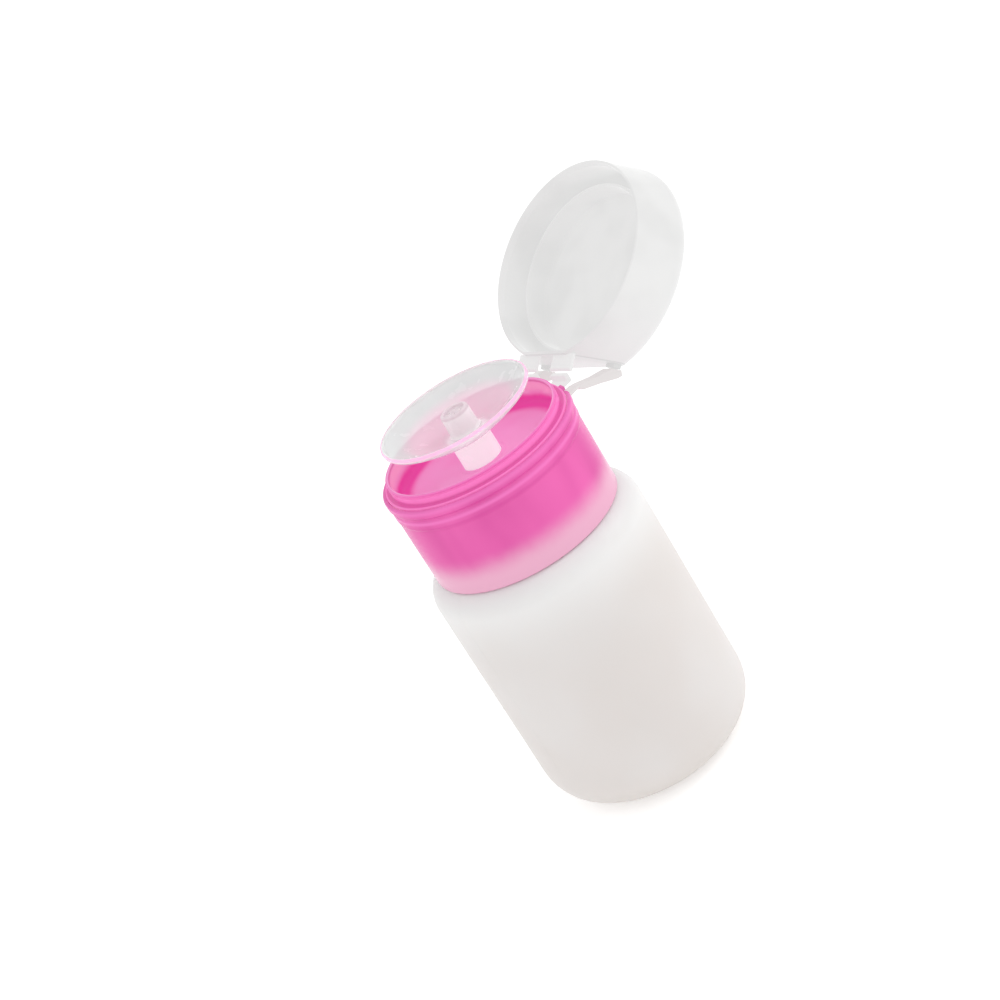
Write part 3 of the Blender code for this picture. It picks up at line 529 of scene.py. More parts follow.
def carve(piece, bm):
    """Cut a shape out of a piece and keep the cut in its mesh."""
    cutter = placed("cutter", bm)
    step = piece.modifiers.new("cut", "BOOLEAN")
    step.object = cutter
    step.operation = "DIFFERENCE"
    finished = piece.evaluated_get(bpy.context.evaluated_depsgraph_get())
    cut = bpy.data.meshes.new_from_object(finished)
    piece.modifiers.clear()
    bm = bmesh.new()
    bm.from_mesh(cut)
    clean(bm)
    bm.to_mesh(cut)
    bm.free()
    cut.name = piece.name
    piece.data = cut
    smooth(cut)
    bpy.data.objects.remove(cutter)


print("points closer than", round(SLIVER / MM, 4), "mm are merged after a cut")

# %% [markdown]
# ## Collar skirt
#
# The skirt has a rounded flange bead at its top, with a shelf inside it on which the lid's mouth
# rests. Four notches in the flange let the hinge's roots out.

# %% Collar skirt
COLLAR_RADIUS = 21.9 * MM
COLLAR_INSIDE = 20.7 * MM
REBATE_INSIDE = 20.6 * MM
REBATE_RADIUS = 21.5 * MM
REBATE_FLOOR = SHELF - 1.8 * MM
CAP_SKIRT_LENGTH = 12.6 * MM
LEDGE_TOP = low("inner_cap") + CAP_SKIRT_LENGTH - 0.3 * MM
STRAP_PLACE = 11.0 * MM
KNUCKLE_PLACE = 5.0 * MM
STRAP_WIDTH = 3.0 * MM
KNUCKLE_WIDTH = 5.0 * MM
NOTCH_GAP = 0.35 * MM
NOTCH_HEIGHT = 4 * MM


def skirt_shape():
    edge = 0.15 * MM
    soft = 0.3 * MM
    ridge = COLLAR_RADIUS + 0.2 * MM
    ledge = REBATE_INSIDE - MM
    corners = [(COLLAR_INSIDE, COLLAR_FOOT, edge), (COLLAR_RADIUS, COLLAR_FOOT, 0.45 * MM)]
    corners += [(COLLAR_RADIUS, SHELF - 5.3 * MM, soft), (ridge, SHELF - 4.7 * MM, soft)]
    corners += [(ridge, SHELF - 3.1 * MM, soft), (COLLAR_RADIUS, SHELF - 2.6 * MM, 0.2 * MM)]
    corners += [(COLLAR_RADIUS, SHELF - 2.1 * MM, 0.2 * MM)]
    corners += [(FLANGE_RADIUS, SHELF - 1.6 * MM, soft), (FLANGE_RADIUS, SHELF, 0.5 * MM)]
    corners += [(REBATE_RADIUS, SHELF, edge), (REBATE_RADIUS, REBATE_FLOOR, edge)]
    corners += [(REBATE_INSIDE, REBATE_FLOOR, edge), (REBATE_INSIDE, LEDGE_TOP, edge)]
    corners += [(ledge, LEDGE_TOP, edge), (ledge, LEDGE_TOP - MM, edge)]
    corners += [(COLLAR_INSIDE, LEDGE_TOP - 2 * MM, soft)]
    return turned(rounded(corners))


def notch(middle, width):
    """A box that opens the flange for one root of the hinge."""
    wide = width / 2 + NOTCH_GAP
    inner = REBATE_INSIDE - 2 * MM
    sides = [(inner, -wide), (OUTERMOST, -wide), (OUTERMOST, wide), (inner, wide)]
    points = [(x, middle + y, REBATE_FLOOR) for x, y in sides]
    return slab(points, (0, 0, NOTCH_HEIGHT), 0)


skirt = show("collar_skirt_skin", skirt_shape(), collar_material, "closure", "collar_pink",
             "collar_skirt")
for side in (-1, 1):
    carve(skirt, notch(side * STRAP_PLACE, STRAP_WIDTH))
    carve(skirt, notch(side * KNUCKLE_PLACE, KNUCKLE_WIDTH))
print("collar", round(2 * FLANGE_RADIUS / MM, 1), "mm across its flange")

# %% [markdown]
# ## Well
#
# The insert carries the lip that stands above the flange, the thin disc that covers the hinge's
# ring, the wall, and the floor that the stem passes through. A fine groove under the lip's top
# and a band of painted shade there give the dark line of the real rim. In the real well, light
# that bounces from wall to floor deepens the pink in the corner, and the well's material adds
# painted shade there.

# %% Collar well
LIP_RADIUS = WELL_RADIUS + 0.8 * MM
COVER_RADIUS = REBATE_RADIUS - 0.05 * MM
COVER_BASE = COVER_TOP - 0.5 * MM
WELL_BASE = low("collar_well")
SLEEVE_HOLE = 4.5 * MM


def well_shape():
    edge = 0.1 * MM
    groove = LIP_RADIUS - 0.25 * MM
    step = WELL_FLOOR + 0.15 * MM
    corners = [(WELL_OUTSIDE, WELL_BASE, edge), (WELL_OUTSIDE, COVER_BASE, edge)]
    corners += [(COVER_RADIUS, COVER_BASE, edge), (COVER_RADIUS, COVER_TOP, 0.2 * MM)]
    corners += [(LIP_RADIUS, COVER_TOP, edge), (LIP_RADIUS, LIP_TOP - 0.9 * MM, 0.15 * MM)]
    corners += [(groove, LIP_TOP - 0.7 * MM, edge), (groove, LIP_TOP - 0.5 * MM, edge)]
    corners += [(LIP_RADIUS, LIP_TOP - 0.35 * MM, 0.08 * MM), (LIP_RADIUS, LIP_TOP, 0.25 * MM)]
    corners += [(WELL_RADIUS, LIP_TOP, 0.3 * MM), (WELL_RADIUS, WELL_FLOOR, 1.4 * MM)]
    corners += [(SLEEVE_HOLE + 0.9 * MM, WELL_FLOOR, edge), (SLEEVE_HOLE + 0.7 * MM, step, 0)]
    corners += [(SLEEVE_HOLE, step, 0), (SLEEVE_HOLE, WELL_BASE, edge)]
    return turned(rounded(corners, steps=6))


show("collar_well_skin", well_shape(), well_material, "closure", "well_pink", "collar_well")

# %% [markdown]
# ## Dish, nozzle and stem
#
# The dish is a thin frosted bowl. It is part clear, so the pink of the collar shows through its
# near half. The outside of its rim hangs over the collar's lip and is painted pink, as a painted
# reflection of that lip, and the inside isn't. Its middle is painted pink light from the well
# below. The nozzle stands in its middle with four small holes in a recessed top, and the sleeve
# of the stem carries both.

# %% Dish materials
DISH_WHITE = (0.580, 0.630, 0.612, 1)
# The dish's core colour is painted pink light from the well below, and its edge colour a painted
# reflection of the collar's lip.
DISH_CORE_PINK_LIGHT = (0.750, 0.565, 0.645, 1)
DISH_EDGE_REFLECTION = (0.960, 0.430, 0.640, 1)
DISH_CLOUD = (0.640, 0.650, 0.647, 1)
NOZZLE_WHITE = (0.790, 0.725, 0.750, 1)
NOZZLE_PINK = (0.580, 0.480, 0.520, 1)
STEM_WHITE = (0.790, 0.840, 0.815, 1)
CORE_REACH = (10.5 * MM, 14.5 * MM)
DISH_RADIUS = high("dish", 1)
DISH_RIM = high("dish")
NOZZLE_TOP = high("nozzle_cap")


def frosted_plastic(name, core, light, cloudy, edge, alpha, rim_alpha, rim, glow):
    """Frosted plastic that lets soft light through, with another colour and alpha on the rim.

    The colour core changes to light over the two radii of CORE_REACH; on the dish the core is
    painted pink light from the well below. The rim's least radius and its height tell where the
    colour edge and rim_alpha begin; on the dish the edge is a painted reflection of the collar's
    lip. The glow is painted light, for the light that the plastic lets through.
    """
    paint = Paint(name, IOR=1.48, Specular_IOR_Level=0.45, Emission_Strength=glow,
                  Subsurface_Weight=1.0, Subsurface_Radius=(1.0, 1.0, 1.0),
                  Subsurface_Scale=3 * MM)
    rim_radius, rim_height = rim
    top = paint.rise(paint.height, rim_height - 1.0 * MM, rim_height - 0.3 * MM)
    outer = paint.rise(paint.radius, rim_radius - 0.2 * MM, rim_radius)
    cloud = paint.noise(7 * MM, 2.0)
    # On the dish, painted pink light from the well below fills the middle.
    colour = paint.mix(paint.rise(paint.radius, *CORE_REACH), core, light)
    # On the dish, the rim's outside takes a painted reflection of the collar's lip.
    colour = paint.mix(top * outer, paint.mix(cloud * 0.5, colour, cloudy), edge)
    paint.feed(paint.shader.inputs["Emission Color"], colour)
    paint.feed(paint.shader.inputs["Alpha"], top * outer * (rim_alpha - alpha) + alpha)
    skin = paint.noise(0.9 * MM, 2.0)
    gloss = paint.noise(4 * MM, 3.0) * 0.12 + 0.2
    return paint.wear(colour, gloss, [(skin, 0.004 * MM)])


dish_material = frosted_plastic("frosted_dish", DISH_CORE_PINK_LIGHT, DISH_WHITE, DISH_CLOUD, DISH_EDGE_REFLECTION,
                                alpha=0.64, rim_alpha=0.80, rim=(DISH_RADIUS - 0.35 * MM, DISH_RIM),
                                glow=0.16)
nozzle_material = frosted_plastic("frosted_nozzle", NOZZLE_WHITE, NOZZLE_WHITE, DISH_CLOUD,
                                  NOZZLE_PINK, alpha=0.90, rim_alpha=0.90, rim=(0, NOZZLE_TOP),
                                  glow=0.24)
stem_material = frosted_plastic("frosted_stem", STEM_WHITE, STEM_WHITE, NOZZLE_WHITE, STEM_WHITE,
                                alpha=0.92, rim_alpha=0.92, rim=(0, DISH_RIM), glow=0.36)
print("dish rim", round(2 * DISH_RADIUS / MM, 1), "mm across at", round(DISH_RIM / MM, 1), "mm")

# %% [markdown]
# The bowl's inside climbs slowly from the hub and faster towards the rim, which is rolled to a
# small round edge.

# %% Dish, nozzle and sleeve
DISH_BASE = low("dish")
DISH_WALL = 1.0 * MM
DISH_FLOOR = DISH_BASE + DISH_WALL
HUB_RADIUS = 5.0 * MM
BOWL_POWER = 1.25
BOWL_POINTS = 28
NOZZLE_RADIUS = high("nozzle_cap", 0)
NOZZLE_RECESS = 0.4 * MM
HOLE_RADIUS = 0.4 * MM
HOLE_CIRCLE = 1.35 * MM
HOLE_CUT = 1.6 * MM
HOLE_COUNT = 4
FLARE = 0.5 * MM
SLEEVE_RADIUS = high("stem_sleeve", 0)
SLEEVE_BASE = low("stem_sleeve")


def dish_shape():
    edge = DISH_RADIUS - DISH_WALL
    inside = []
    outside = []
    for index in range(BOWL_POINTS + 1):
        share = index / BOWL_POINTS
        radius = HUB_RADIUS + (edge - HUB_RADIUS) * share
        rise = (DISH_RIM - DISH_FLOOR - 0.5 * MM) * share ** BOWL_POWER
        inside.append((radius, DISH_FLOOR + rise))
        outside.append((radius + 0.35 * MM, DISH_BASE + rise))
    lip = rounded([(edge, DISH_RIM - MM, 0), (edge + 0.2 * MM, DISH_RIM, 0.3 * MM),
                   (DISH_RADIUS, DISH_RIM, 0.35 * MM), (DISH_RADIUS, DISH_RIM - 0.9 * MM, 0.3 * MM),
                   (edge, DISH_RIM - 1.6 * MM, 0)], steps=6)[1:-1]
    return turned([(0, DISH_FLOOR)] + inside + lip + outside[::-1] + [(0, DISH_BASE)])


def nozzle_shape():
    foot = DISH_FLOOR - 0.2 * MM
    recess = NOZZLE_RADIUS - 0.9 * MM
    recess_floor = NOZZLE_TOP - NOZZLE_RECESS
    corners = [(0, foot, 0), (NOZZLE_RADIUS + FLARE, foot, 0)]
    corners += [(NOZZLE_RADIUS, DISH_FLOOR + 0.6 * MM, 0.5 * MM)]
    corners += [(NOZZLE_RADIUS - 0.1 * MM, NOZZLE_TOP, 0.5 * MM), (recess, NOZZLE_TOP, 0.15 * MM)]
    corners += [(recess - 0.1 * MM, recess_floor, 0.1 * MM), (0, recess_floor, 0)]
    return turned(rounded(corners), steps=72)


def drill(angle):
    """A round cutter for one hole in the nozzle's top."""
    bm = bmesh.new()
    bmesh.ops.create_cone(bm, cap_ends=True, segments=24, radius1=HOLE_RADIUS,
                          radius2=HOLE_RADIUS, depth=HOLE_CUT)
    place = (HOLE_CIRCLE * math.cos(angle), HOLE_CIRCLE * math.sin(angle),
             NOZZLE_TOP - NOZZLE_RECESS)
    bmesh.ops.translate(bm, vec=place, verts=bm.verts[:])
    return bm


def sleeve_shape():
    bore = SLEEVE_RADIUS - 1.0 * MM
    top = DISH_BASE + 0.1 * MM
    corners = [(bore, SLEEVE_BASE, 0.1 * MM), (SLEEVE_RADIUS, SLEEVE_BASE, 0.2 * MM)]
    corners += [(SLEEVE_RADIUS, top - 0.6 * MM, 0.4 * MM), (SLEEVE_RADIUS + FLARE, top, 0)]
    corners += [(bore, top, 0)]
    return turned(rounded(corners), steps=96)


show("dish_skin", dish_shape(), dish_material, "press", "dish_plastic", "dish")
nozzle = show("nozzle_skin", nozzle_shape(), nozzle_material, "press", "nozzle_plastic",
              "nozzle_cap")
for index in range(HOLE_COUNT):
    carve(nozzle, drill(math.tau * (index + 0.5) / HOLE_COUNT))
show("stem_sleeve_skin", sleeve_shape(), stem_material, "press", "stem_plastic", "stem_sleeve")

# %% [markdown]
# ## Lid
#
# The lid is modelled closed, where its axis is the bottle's axis, and then swung open about the
# hinge. The shell flares from its mouth to a rounded crown and is flat on the hinge's side, which
# leaves the two windows beside the hinge's knuckles. A liner inside it carries a ring.

# %% Lid places
JOINT = {joint["name"]: joint for joint in frame["joints"]}
HINGE = Vector(JOINT["lid_hinge"]["pos_m"])
OPEN_ANGLE = math.radians(-JOINT["lid_hinge"]["range_deg"][0])
OPENING = (Matrix.Translation(HINGE) @ Matrix.Rotation(OPEN_ANGLE, 4, "Y")
           @ Matrix.Translation(-HINGE))
MOUTH = SHELF + 0.3 * MM
LID_TOP = MOUTH + 13.4 * MM
BACK_FOOT = 21.5 * MM
BACK_TOP = 20.2 * MM
BACK_NORMAL = Vector((LID_TOP - MOUTH, 0, BACK_FOOT - BACK_TOP)).normalized()
print("lid open by", round(math.degrees(OPEN_ANGLE), 1), "degrees")

# %% [markdown]
# The lid, its liner and the hinge are one recipe of white plastic with different values. The lid
# in the photograph is so evenly lit that it seems to glow, so the material has a low base colour
# and an even emission. The lid's flat back lies in shade and has its own darker grey, which begins
# at that plane.

# %% White materials
LID_WHITE = (0.300, 0.300, 0.298, 1)
LID_GREY = (0.250, 0.250, 0.248, 1)
LID_GLOW = (0.520, 0.520, 0.518, 1)
TAB_GLOW = (0.555, 0.555, 0.553, 1)
HINGE_WHITE = (0.270, 0.262, 0.258, 1)
HINGE_GREY = (0.220, 0.212, 0.208, 1)
HINGE_GLOW = (0.500, 0.475, 0.475, 1)
# Painted shade for the lid's flat back.
BACK_SHADE = (0.190, 0.190, 0.189, 1)


def white_plastic(name, light, shade, back, glow):
    """White plastic with cloudy flow and a satin skin, and painted shade on the flat back.

    The glow stands for light from behind.
    """
    paint = Paint(name, IOR=1.35, Specular_IOR_Level=0.08, Emission_Strength=1.0,
                  Emission_Color=glow)
    cloud = paint.rise(paint.noise(14 * MM, 2.0), 0.35, 0.7)
    colour = paint.mix(cloud, light, shade)
    # Painted shade on the flat back, beyond the back's plane.
    normal = OPENING.to_3x3() @ BACK_NORMAL
    reach = normal.dot(OPENING @ Vector((BACK_FOOT, 0, MOUTH)))
    out = paint.node("ShaderNodeVectorMath", {"operation": "DOT_PRODUCT"},
                     {0: paint.place, 1: normal}, "Value")
    colour = paint.mix(paint.rise(out, reach - 0.3 * MM, reach - 0.1 * MM), colour, back)
    skin = paint.noise(1.2 * MM, 2.0)
    gloss = paint.noise(6 * MM, 3.0) * 0.1 + 0.3
    return paint.wear(colour, gloss, [(skin, 0.008 * MM)])


lid_material = white_plastic("lid_white", LID_WHITE, LID_GREY, BACK_SHADE, LID_GLOW)
liner_material = white_plastic("liner_white", LID_WHITE, LID_GREY, LID_WHITE, LID_GLOW)
hinge_material = white_plastic("hinge_white", HINGE_WHITE, HINGE_GREY, HINGE_WHITE, HINGE_GLOW)
tab_material = white_plastic("tab_white", LID_WHITE, LID_GREY, LID_WHITE, TAB_GLOW)
print("white materials ready")

# %% [markdown]
# The shell is a turned solid that is cut flat on the hinge's side. A second solid, smaller by the
# wall, is cut flat in the same way and carved out of the first, so the wall also runs along the
# flat back.

# %% Lid shape
MOUTH_RADIUS = 22.3 * MM
CROWN_RADIUS = 24.95 * MM
CEILING = LID_TOP - 1.2 * MM
LID_WALL = 0.8 * MM
CROWN_ROUND = 2.9 * MM
LINER_RADIUS = 19.1 * MM
LINER_WALL = 0.5 * MM
LINER_TOP = CEILING - 0.3 * MM
LINER_FOOT = MOUTH + 5.5 * MM


def opened(bm):
    """Swing a shape from the lid's closed place to the photograph's open one."""
    bmesh.ops.transform(bm, matrix=OPENING, verts=bm.verts[:])
    return bm


def back_reach(height):
    """How far out the flat back is at a height of the closed lid."""
    return BACK_FOOT + (BACK_TOP - BACK_FOOT) * (height - MOUTH) / (LID_TOP - MOUTH)


def flat_backed(outline, inset, rounding):
    """Spin an outline, cut it flat on the hinge's side and round the edge of the cut."""
    bm = turned(outline)
    cut = bmesh.ops.bisect_plane(bm, geom=bm.verts[:] + bm.edges[:] + bm.faces[:], dist=MERGE,
                                 plane_co=(BACK_FOOT - inset, 0, MOUTH), clear_outer=True,
                                 plane_no=BACK_NORMAL)
    edges = [item for item in cut["geom_cut"] if isinstance(item, bmesh.types.BMEdge)]
    bmesh.ops.edgeloop_fill(bm, edges=edges)
    rounded_edges(bm, edges, rounding, 4)
    clean(bm)
    return bm


def shell_shape():
    corners = [(0, LID_TOP, 0), (CROWN_RADIUS, LID_TOP, CROWN_ROUND)]
    corners += [(MOUTH_RADIUS, MOUTH, 0.25 * MM), (0, MOUTH, 0)]
    return flat_backed(rounded(corners, steps=10), 0, 0.5 * MM)


def hollow_shape():
    inner = MOUTH_RADIUS - LID_WALL
    crown_inner = CROWN_RADIUS - LID_WALL - 0.3 * MM
    edge = inner + 0.35 * MM
    corners = [(0, CEILING, 0), (crown_inner, CEILING, 2.0 * MM)]
    corners += [(inner, MOUTH + 1.4 * MM, 0.4 * MM), (edge, MOUTH, 0), (edge, MOUTH - MM, 0)]
    corners += [(0, MOUTH - MM, 0)]
    return flat_backed(rounded(corners, steps=10), LID_WALL, 0.4 * MM)


def liner_shape():
    inner = LINER_RADIUS - LINER_WALL
    disc = LINER_TOP - 0.8 * MM
    edge = 0.2 * MM
    corners = [(0, LINER_TOP, 0), (LINER_RADIUS, LINER_TOP, edge)]
    corners += [(LINER_RADIUS, LINER_FOOT, edge), (inner, LINER_FOOT, edge)]
    corners += [(inner, disc, 0.5 * MM), (0, disc, 0)]
    return turned(rounded(corners))


shell = show("lid_shell_skin", opened(shell_shape()), lid_material, "lid", "lid_white", "lid_shell")
show("lid_liner_skin", opened(liner_shape()), liner_material, "lid", "liner_white", "lid_liner")
carve(shell, opened(hollow_shape()))
print("lid mouth", round(2 * MOUTH_RADIUS / MM, 1), "mm across")

# %% [markdown]
# ## Snap hinge
#
# Two knuckles on the lid turn on the lugs of a white ring that is clamped under the collar's
# lip. Two straps run outside them from the ring to seats on the lid's flat back: they are what
# snaps the lid open or shut. Each strap is thinned at both ends, where the real one bends. Its
# two long sides are listed as shares of its length and heights in millimetres.

# %% Hinge pieces
LUG_INSIDE = MOUTH_RADIUS + 0.6 * MM
LUG_THICK = 1.3 * MM
KNUCKLE_RADIUS = 0.55 * MM
BARREL_STEPS = 24
TAB_HALF = 0.4 * MM
RING_INNER = 20.3 * MM
RING_OUTER = 21.2 * MM
ROOT_RADIUS = 20.9 * MM
RING_BASE = low("hinge_ring")
RING_TOP = RING_BASE + 1.0 * MM
ROOT_TOP = RING_BASE + 0.8 * MM
LUG_TOP = HINGE.z - KNUCKLE_RADIUS - 0.2 * MM
STRAP_HINGE = Vector(JOINT["strap_near_hinge"]["pos_m"])
STRAP_ANGLE = math.radians(22.5)
STRAP_LENGTH = 12.3 * MM
STRAP_INNER = [(0.0, 0.22), (0.1, 0.45), (0.45, 0.72), (0.75, 1.30), (0.81, 1.38), (0.85, 0.92),
               (0.90, 0.86), (0.94, 0.56), (1.0, 0.42)]
STRAP_OUTER = [(0.0, -0.25), (0.1, -0.95), (0.5, -0.90), (0.9, -1.10), (1.0, -0.85)]
SEAT_REACH = 21.5 * MM
SEAT_WIDTH = 2.6 * MM
SEAT_TOP = LID_TOP - 1.85 * MM
SEAT_BASE = SEAT_TOP - 2.1 * MM
KNUCKLE_MIDDLE = 5.7 * MM
TAB_WIDTH = 6.6 * MM


def ring_shape():
    edge = 0.1 * MM
    corners = [(RING_INNER, RING_BASE, edge), (RING_OUTER, RING_BASE, edge)]
    corners += [(RING_OUTER, RING_TOP, edge), (RING_INNER, RING_TOP, edge)]
    return turned(rounded(corners, steps=2))


def bar(points, middle, width, rounding):
    """Extrude an outline of (x, z) points along Y, to both sides of a middle."""
    beside = [(x, middle - width / 2, z) for x, z in points]
    return slab(beside, (0, width, 0), rounding)


def root_start(middle, width):
    """Where the outer corner of a root meets the ring."""
    return math.sqrt(ROOT_RADIUS ** 2 - (abs(middle) + width / 2) ** 2)


def lug_shape(middle):
    start = root_start(middle, KNUCKLE_WIDTH)
    outer = LUG_INSIDE + LUG_THICK
    points = [(start, RING_BASE), (outer, RING_BASE), (outer, LUG_TOP), (LUG_INSIDE, LUG_TOP)]
    points += [(LUG_INSIDE, ROOT_TOP), (start, ROOT_TOP)]
    return bar(points, middle, KNUCKLE_WIDTH, 0.3 * MM)


def root_shape(middle):
    start = root_start(middle, STRAP_WIDTH)
    end = STRAP_HINGE.x + 0.1 * MM
    points = [(start, RING_BASE), (end, RING_BASE + 0.1 * MM), (end, ROOT_TOP - 0.1 * MM)]
    points += [(start, ROOT_TOP)]
    return bar(points, middle, STRAP_WIDTH, 0.12 * MM)


def knuckle_shape(middle):
    """A tab from the lid's wall that ends in a barrel on the hinge's axis."""
    wall = back_reach(HINGE.z) - LID_WALL / 2
    half = math.asin(TAB_HALF / KNUCKLE_RADIUS)
    points = []
    for step in range(BARREL_STEPS + 1):
        angle = -math.pi + half + (math.tau - 2 * half) * step / BARREL_STEPS
        points.append((HINGE.x + KNUCKLE_RADIUS * math.cos(angle),
                       HINGE.z + KNUCKLE_RADIUS * math.sin(angle)))
    points += [(wall, HINGE.z + TAB_HALF), (wall, HINGE.z - TAB_HALF)]
    return opened(bar(points, middle, TAB_WIDTH, 0.25 * MM))


def seat_shape(side):
    """The block on the lid's flat back that takes a strap's outer end."""
    wall = back_reach(SEAT_TOP) - LID_WALL / 4
    points = [(wall, SEAT_BASE), (SEAT_REACH, SEAT_BASE), (SEAT_REACH, SEAT_TOP), (wall, SEAT_TOP)]
    return opened(bar(points, side * STRAP_PLACE, SEAT_WIDTH, 0.15 * MM))


def strap_shape(side):
    """A strap in its open place, thin at its root and shaped to its seat at the lid."""
    sides = STRAP_OUTER + STRAP_INNER[::-1]
    bm = bar([(STRAP_LENGTH * share, height * MM) for share, height in sides], 0, STRAP_WIDTH,
             0.12 * MM)
    place = (Matrix.Translation((STRAP_HINGE.x, side * STRAP_PLACE, STRAP_HINGE.z))
             @ Matrix.Rotation(STRAP_ANGLE, 4, "Y"))
    bmesh.ops.transform(bm, matrix=place, verts=bm.verts[:])
    return bm


show("hinge_ring_skin", ring_shape(), hinge_material, "closure", "hinge_white", "hinge_ring")
for side, word in ((-1, "near"), (1, "far")):
    show(f"hinge_lug_{word}", lug_shape(side * KNUCKLE_PLACE), tab_material, "closure",
         "hinge_white")
    show(f"strap_root_{word}", root_shape(side * STRAP_PLACE), hinge_material, "closure",
         "hinge_white")
    show(f"lid_knuckle_{word}", knuckle_shape(side * KNUCKLE_MIDDLE), tab_material, "lid",
         "lid_white")
    show(f"strap_seat_{word}", seat_shape(side), lid_material, "lid", "lid_white")
    show(f"hinge_strap_{word}_skin", strap_shape(side), hinge_material, f"strap_{word}",
         "strap_white", f"hinge_strap_{word}")

# %% [markdown]
# ## Inner pieces
#
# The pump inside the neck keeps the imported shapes. The pieces are small and mostly hidden, but
# each still gets its own finish, because the collar is part clear and the model can be opened.

# %% Inner materials
NATURAL_LIGHT = (0.82, 0.81, 0.79, 1)
NATURAL_SHADE = (0.72, 0.71, 0.69, 1)
FOAM_LIGHT = (0.74, 0.74, 0.72, 1)
FOAM_SHADE = (0.60, 0.60, 0.58, 1)
RUBBER_DUST = (0.10, 0.10, 0.11, 1)
RUBBER_DARK = (0.03, 0.03, 0.03, 1)
STEEL_LIGHT = (0.75, 0.75, 0.76, 1)
STEEL_DARK = (0.55, 0.55, 0.56, 1)
TUBE_LIGHT = (0.86, 0.86, 0.85, 1)
TUBE_SHADE = (0.78, 0.78, 0.77, 1)


def plain_plastic(name, light, shade, roughness):
    """Natural moulded plastic with faint clouds and a fine skin."""
    paint = Paint(name, IOR=1.5)
    colour = paint.mix(paint.noise(5 * MM), light, shade)
    gloss = paint.noise(3 * MM, 3.0) * 0.15 + roughness
    return paint.wear(colour, gloss, [(paint.noise(0.8 * MM), 0.005 * MM)])


def soft_rubber(name, light, shade):
    """Dark seal rubber with a dusty bloom."""
    paint = Paint(name, IOR=1.5)
    bloom = paint.rise(paint.noise(2 * MM, 4.0), 0.4, 0.8)
    colour = paint.mix(bloom, shade, light)
    return paint.wear(colour, bloom * 0.2 + 0.6, [(paint.noise(0.3 * MM), 0.01 * MM)])


def bright_steel(name):
    """Drawn and polished steel with fine streaks."""
    paint = Paint(name, Metallic=1.0)
    streaks = paint.noise(1.5 * MM, 3.0, (1, 1, 9))
    colour = paint.mix(streaks, STEEL_DARK, STEEL_LIGHT)
    return paint.wear(colour, streaks * 0.2 + 0.12, [(streaks, 0.002 * MM)])


def clear_tube(name):
    """A part-clear flexible tube."""
    paint = Paint(name, Alpha=0.6, IOR=1.45)
    colour = paint.mix(paint.noise(10 * MM), TUBE_LIGHT, TUBE_SHADE)
    return paint.wear(colour, paint.noise(4 * MM) * 0.1 + 0.2, [(paint.noise(MM), 0.004 * MM)])


cap_material = tinted_plastic("cap_pink", COLLAR_PINK, COLLAR_DEEP, alpha=0.75, glow=0.0,
                              shade=COLLAR_DEEP, reach=ALL_ROUND, fade=(MM, 2 * MM), bands=[])
pump_material = plain_plastic("pump_natural", NATURAL_LIGHT, NATURAL_SHADE, 0.35)
gasket_material = plain_plastic("gasket_foam", FOAM_LIGHT, FOAM_SHADE, 0.7)
seal_material = soft_rubber("seal_rubber", RUBBER_DUST, RUBBER_DARK)
steel_material = bright_steel("pump_steel")
tube_material = clear_tube("dip_tube_clear")

FINISHES = {"inner_cap": cap_material, "neck_gasket": gasket_material,
            "stem_wiper": seal_material, "piston_seal": seal_material,
            "inlet_ball": steel_material, "outlet_ball": steel_material,
            "dip_tube": tube_material, "pump_housing": pump_material,
            "pump_retainer": pump_material, "spring_seat": pump_material,
            "piston": pump_material, "pump_stem": pump_material}
for node, finish in FINISHES.items():
    slots = frame["nodes"][node].material_slots
    for index in range(len(slots)):
        slots[index].material = finish
print(len(FINISHES), "inner pieces finished")

# %% [markdown]
# ## Return spring
#
# The spring is one wire wound six times. A small circle is spun round the Z axis and raised a
# little at each step, which gives the coil, and both ends are closed. The spring stands on the
# pump's seat and gets shorter as the dish goes down.

# %% Return spring
SPRING_WIRE = 0.3 * MM
WIRE_SIDES = 10
SPRING_TURNS = 6
STEPS_PER_TURN = 28
SPRING_FOOT = low("return_spring")
SPRING_LENGTH = high("return_spring") - SPRING_FOOT
PRESS_STROKE = -JOINT["dish_press"]["range_m"][0]


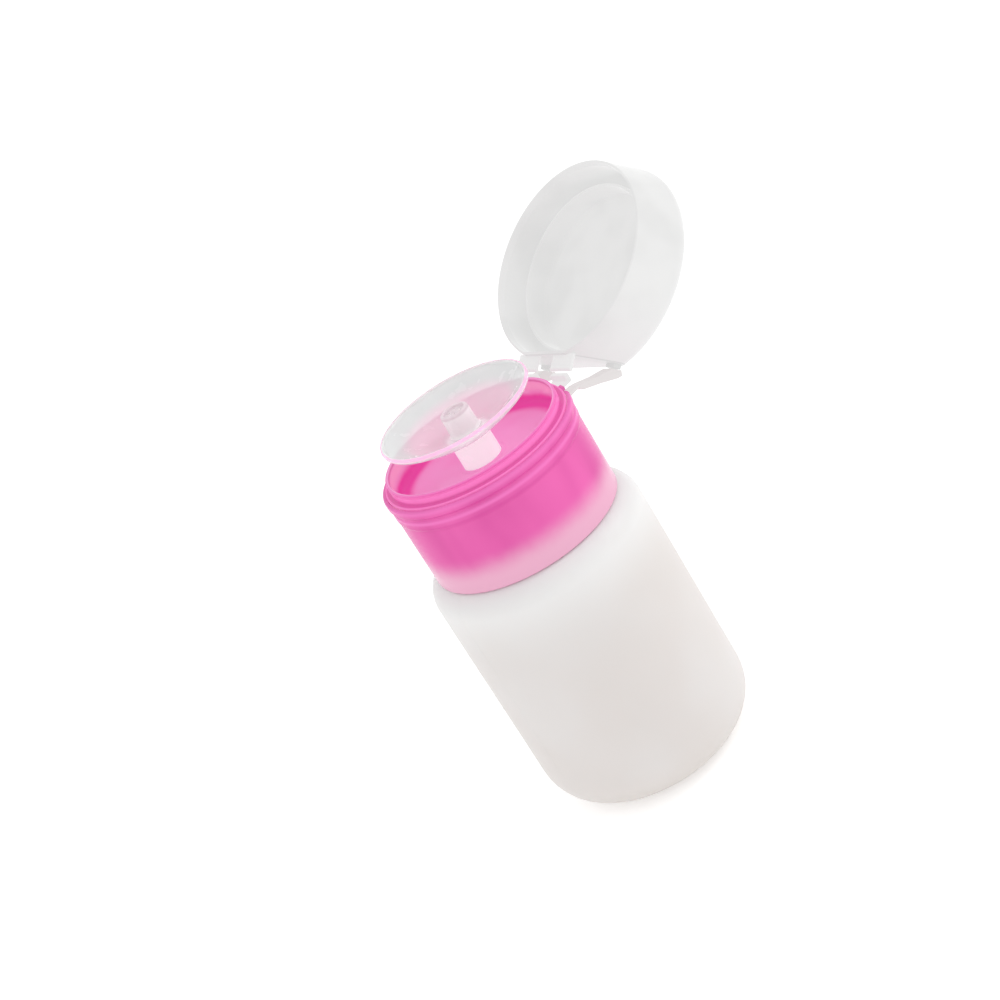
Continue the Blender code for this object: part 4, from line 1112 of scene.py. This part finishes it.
def spring_shape():
    steps = SPRING_TURNS * STEPS_PER_TURN
    middle = high("return_spring", 0) - SPRING_WIRE
    bm = bmesh.new()
    place = Matrix.Translation((middle, 0, SPRING_FOOT + SPRING_WIRE))
    bmesh.ops.create_circle(bm, cap_ends=False, radius=SPRING_WIRE, segments=WIRE_SIDES,
                            matrix=place @ Matrix.Rotation(math.pi / 2, 4, "X"))
    bmesh.ops.spin(bm, geom=bm.verts[:] + bm.edges[:], cent=(0, 0, 0), axis=(0, 0, 1),
                   dvec=(0, 0, (SPRING_LENGTH - 2 * SPRING_WIRE) / steps),
                   angle=math.tau * SPRING_TURNS, steps=steps, use_merge=False)
    ends = [edge for edge in bm.edges if edge.is_boundary]
    bmesh.ops.holes_fill(bm, edges=ends, sides=0)
    bmesh.ops.recalc_face_normals(bm, faces=bm.faces[:])
    return bm


spring = show("return_spring_skin", spring_shape(), steel_material, "pump_set", "spring_steel",
              "return_spring")
(SPRING_LENGTH - PRESS_STROKE) / SPRING_LENGTH
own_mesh(spring)

# %% [markdown]
# ## Studio
#
# The photograph is a bright cut-out on white. A large pale floor, an even white world and one
# soft light at the right give that: the floor burns out to white and the shadows stay faint.

# %% Studio
FLOOR_HALF = 4.0
FLOOR_DROP = 0.1 * MM
FLOOR_GREY = (0.93, 0.93, 0.93, 1)
FLOOR_GLOW = 0.32
WHITE = (1, 1, 1, 1)
WORLD_STRENGTH = 0.93
KEY_PLACE = Vector((0.75, -0.45, 0.65))
KEY_SIZE = 0.32
KEY_POWER = 1.5


def make_floor():
    bm = bmesh.new()
    bmesh.ops.create_grid(bm, x_segments=2, y_segments=2, size=FLOOR_HALF)
    bmesh.ops.translate(bm, vec=(0, 0, -FLOOR_DROP), verts=bm.verts[:])
    paint = Paint("studio_floor", Base_Color=FLOOR_GREY, Emission_Color=WHITE,
                  Emission_Strength=FLOOR_GLOW, Roughness=0.9, Specular_IOR_Level=0.0)
    floor = placed("studio_floor", bm)
    floor.data.materials.append(paint.material)


def make_key_light():
    """A square area light that looks at the collar."""
    data = bpy.data.lights.new("key_light", "AREA")
    data.shape = "SQUARE"
    data.size = KEY_SIZE
    data.energy = KEY_POWER
    light = bpy.data.objects.new("key_light", data)
    light.location = KEY_PLACE
    light.rotation_euler = (AIM - KEY_PLACE).to_track_quat("-Z", "Y").to_euler()
    bpy.context.scene.collection.objects.link(light)


def make_world():
    world = bpy.data.worlds.new("studio")
    world.use_nodes = True
    background = world.node_tree.nodes["Background"]
    background.inputs["Color"].default_value = WHITE
    background.inputs["Strength"].default_value = WORLD_STRENGTH
    bpy.context.scene.world = world


make_floor()
make_world()
make_key_light()
bpy.context.scene.view_settings.view_transform = "Standard"
print("studio ready, world at", WORLD_STRENGTH, "and key light at", KEY_POWER, "W")
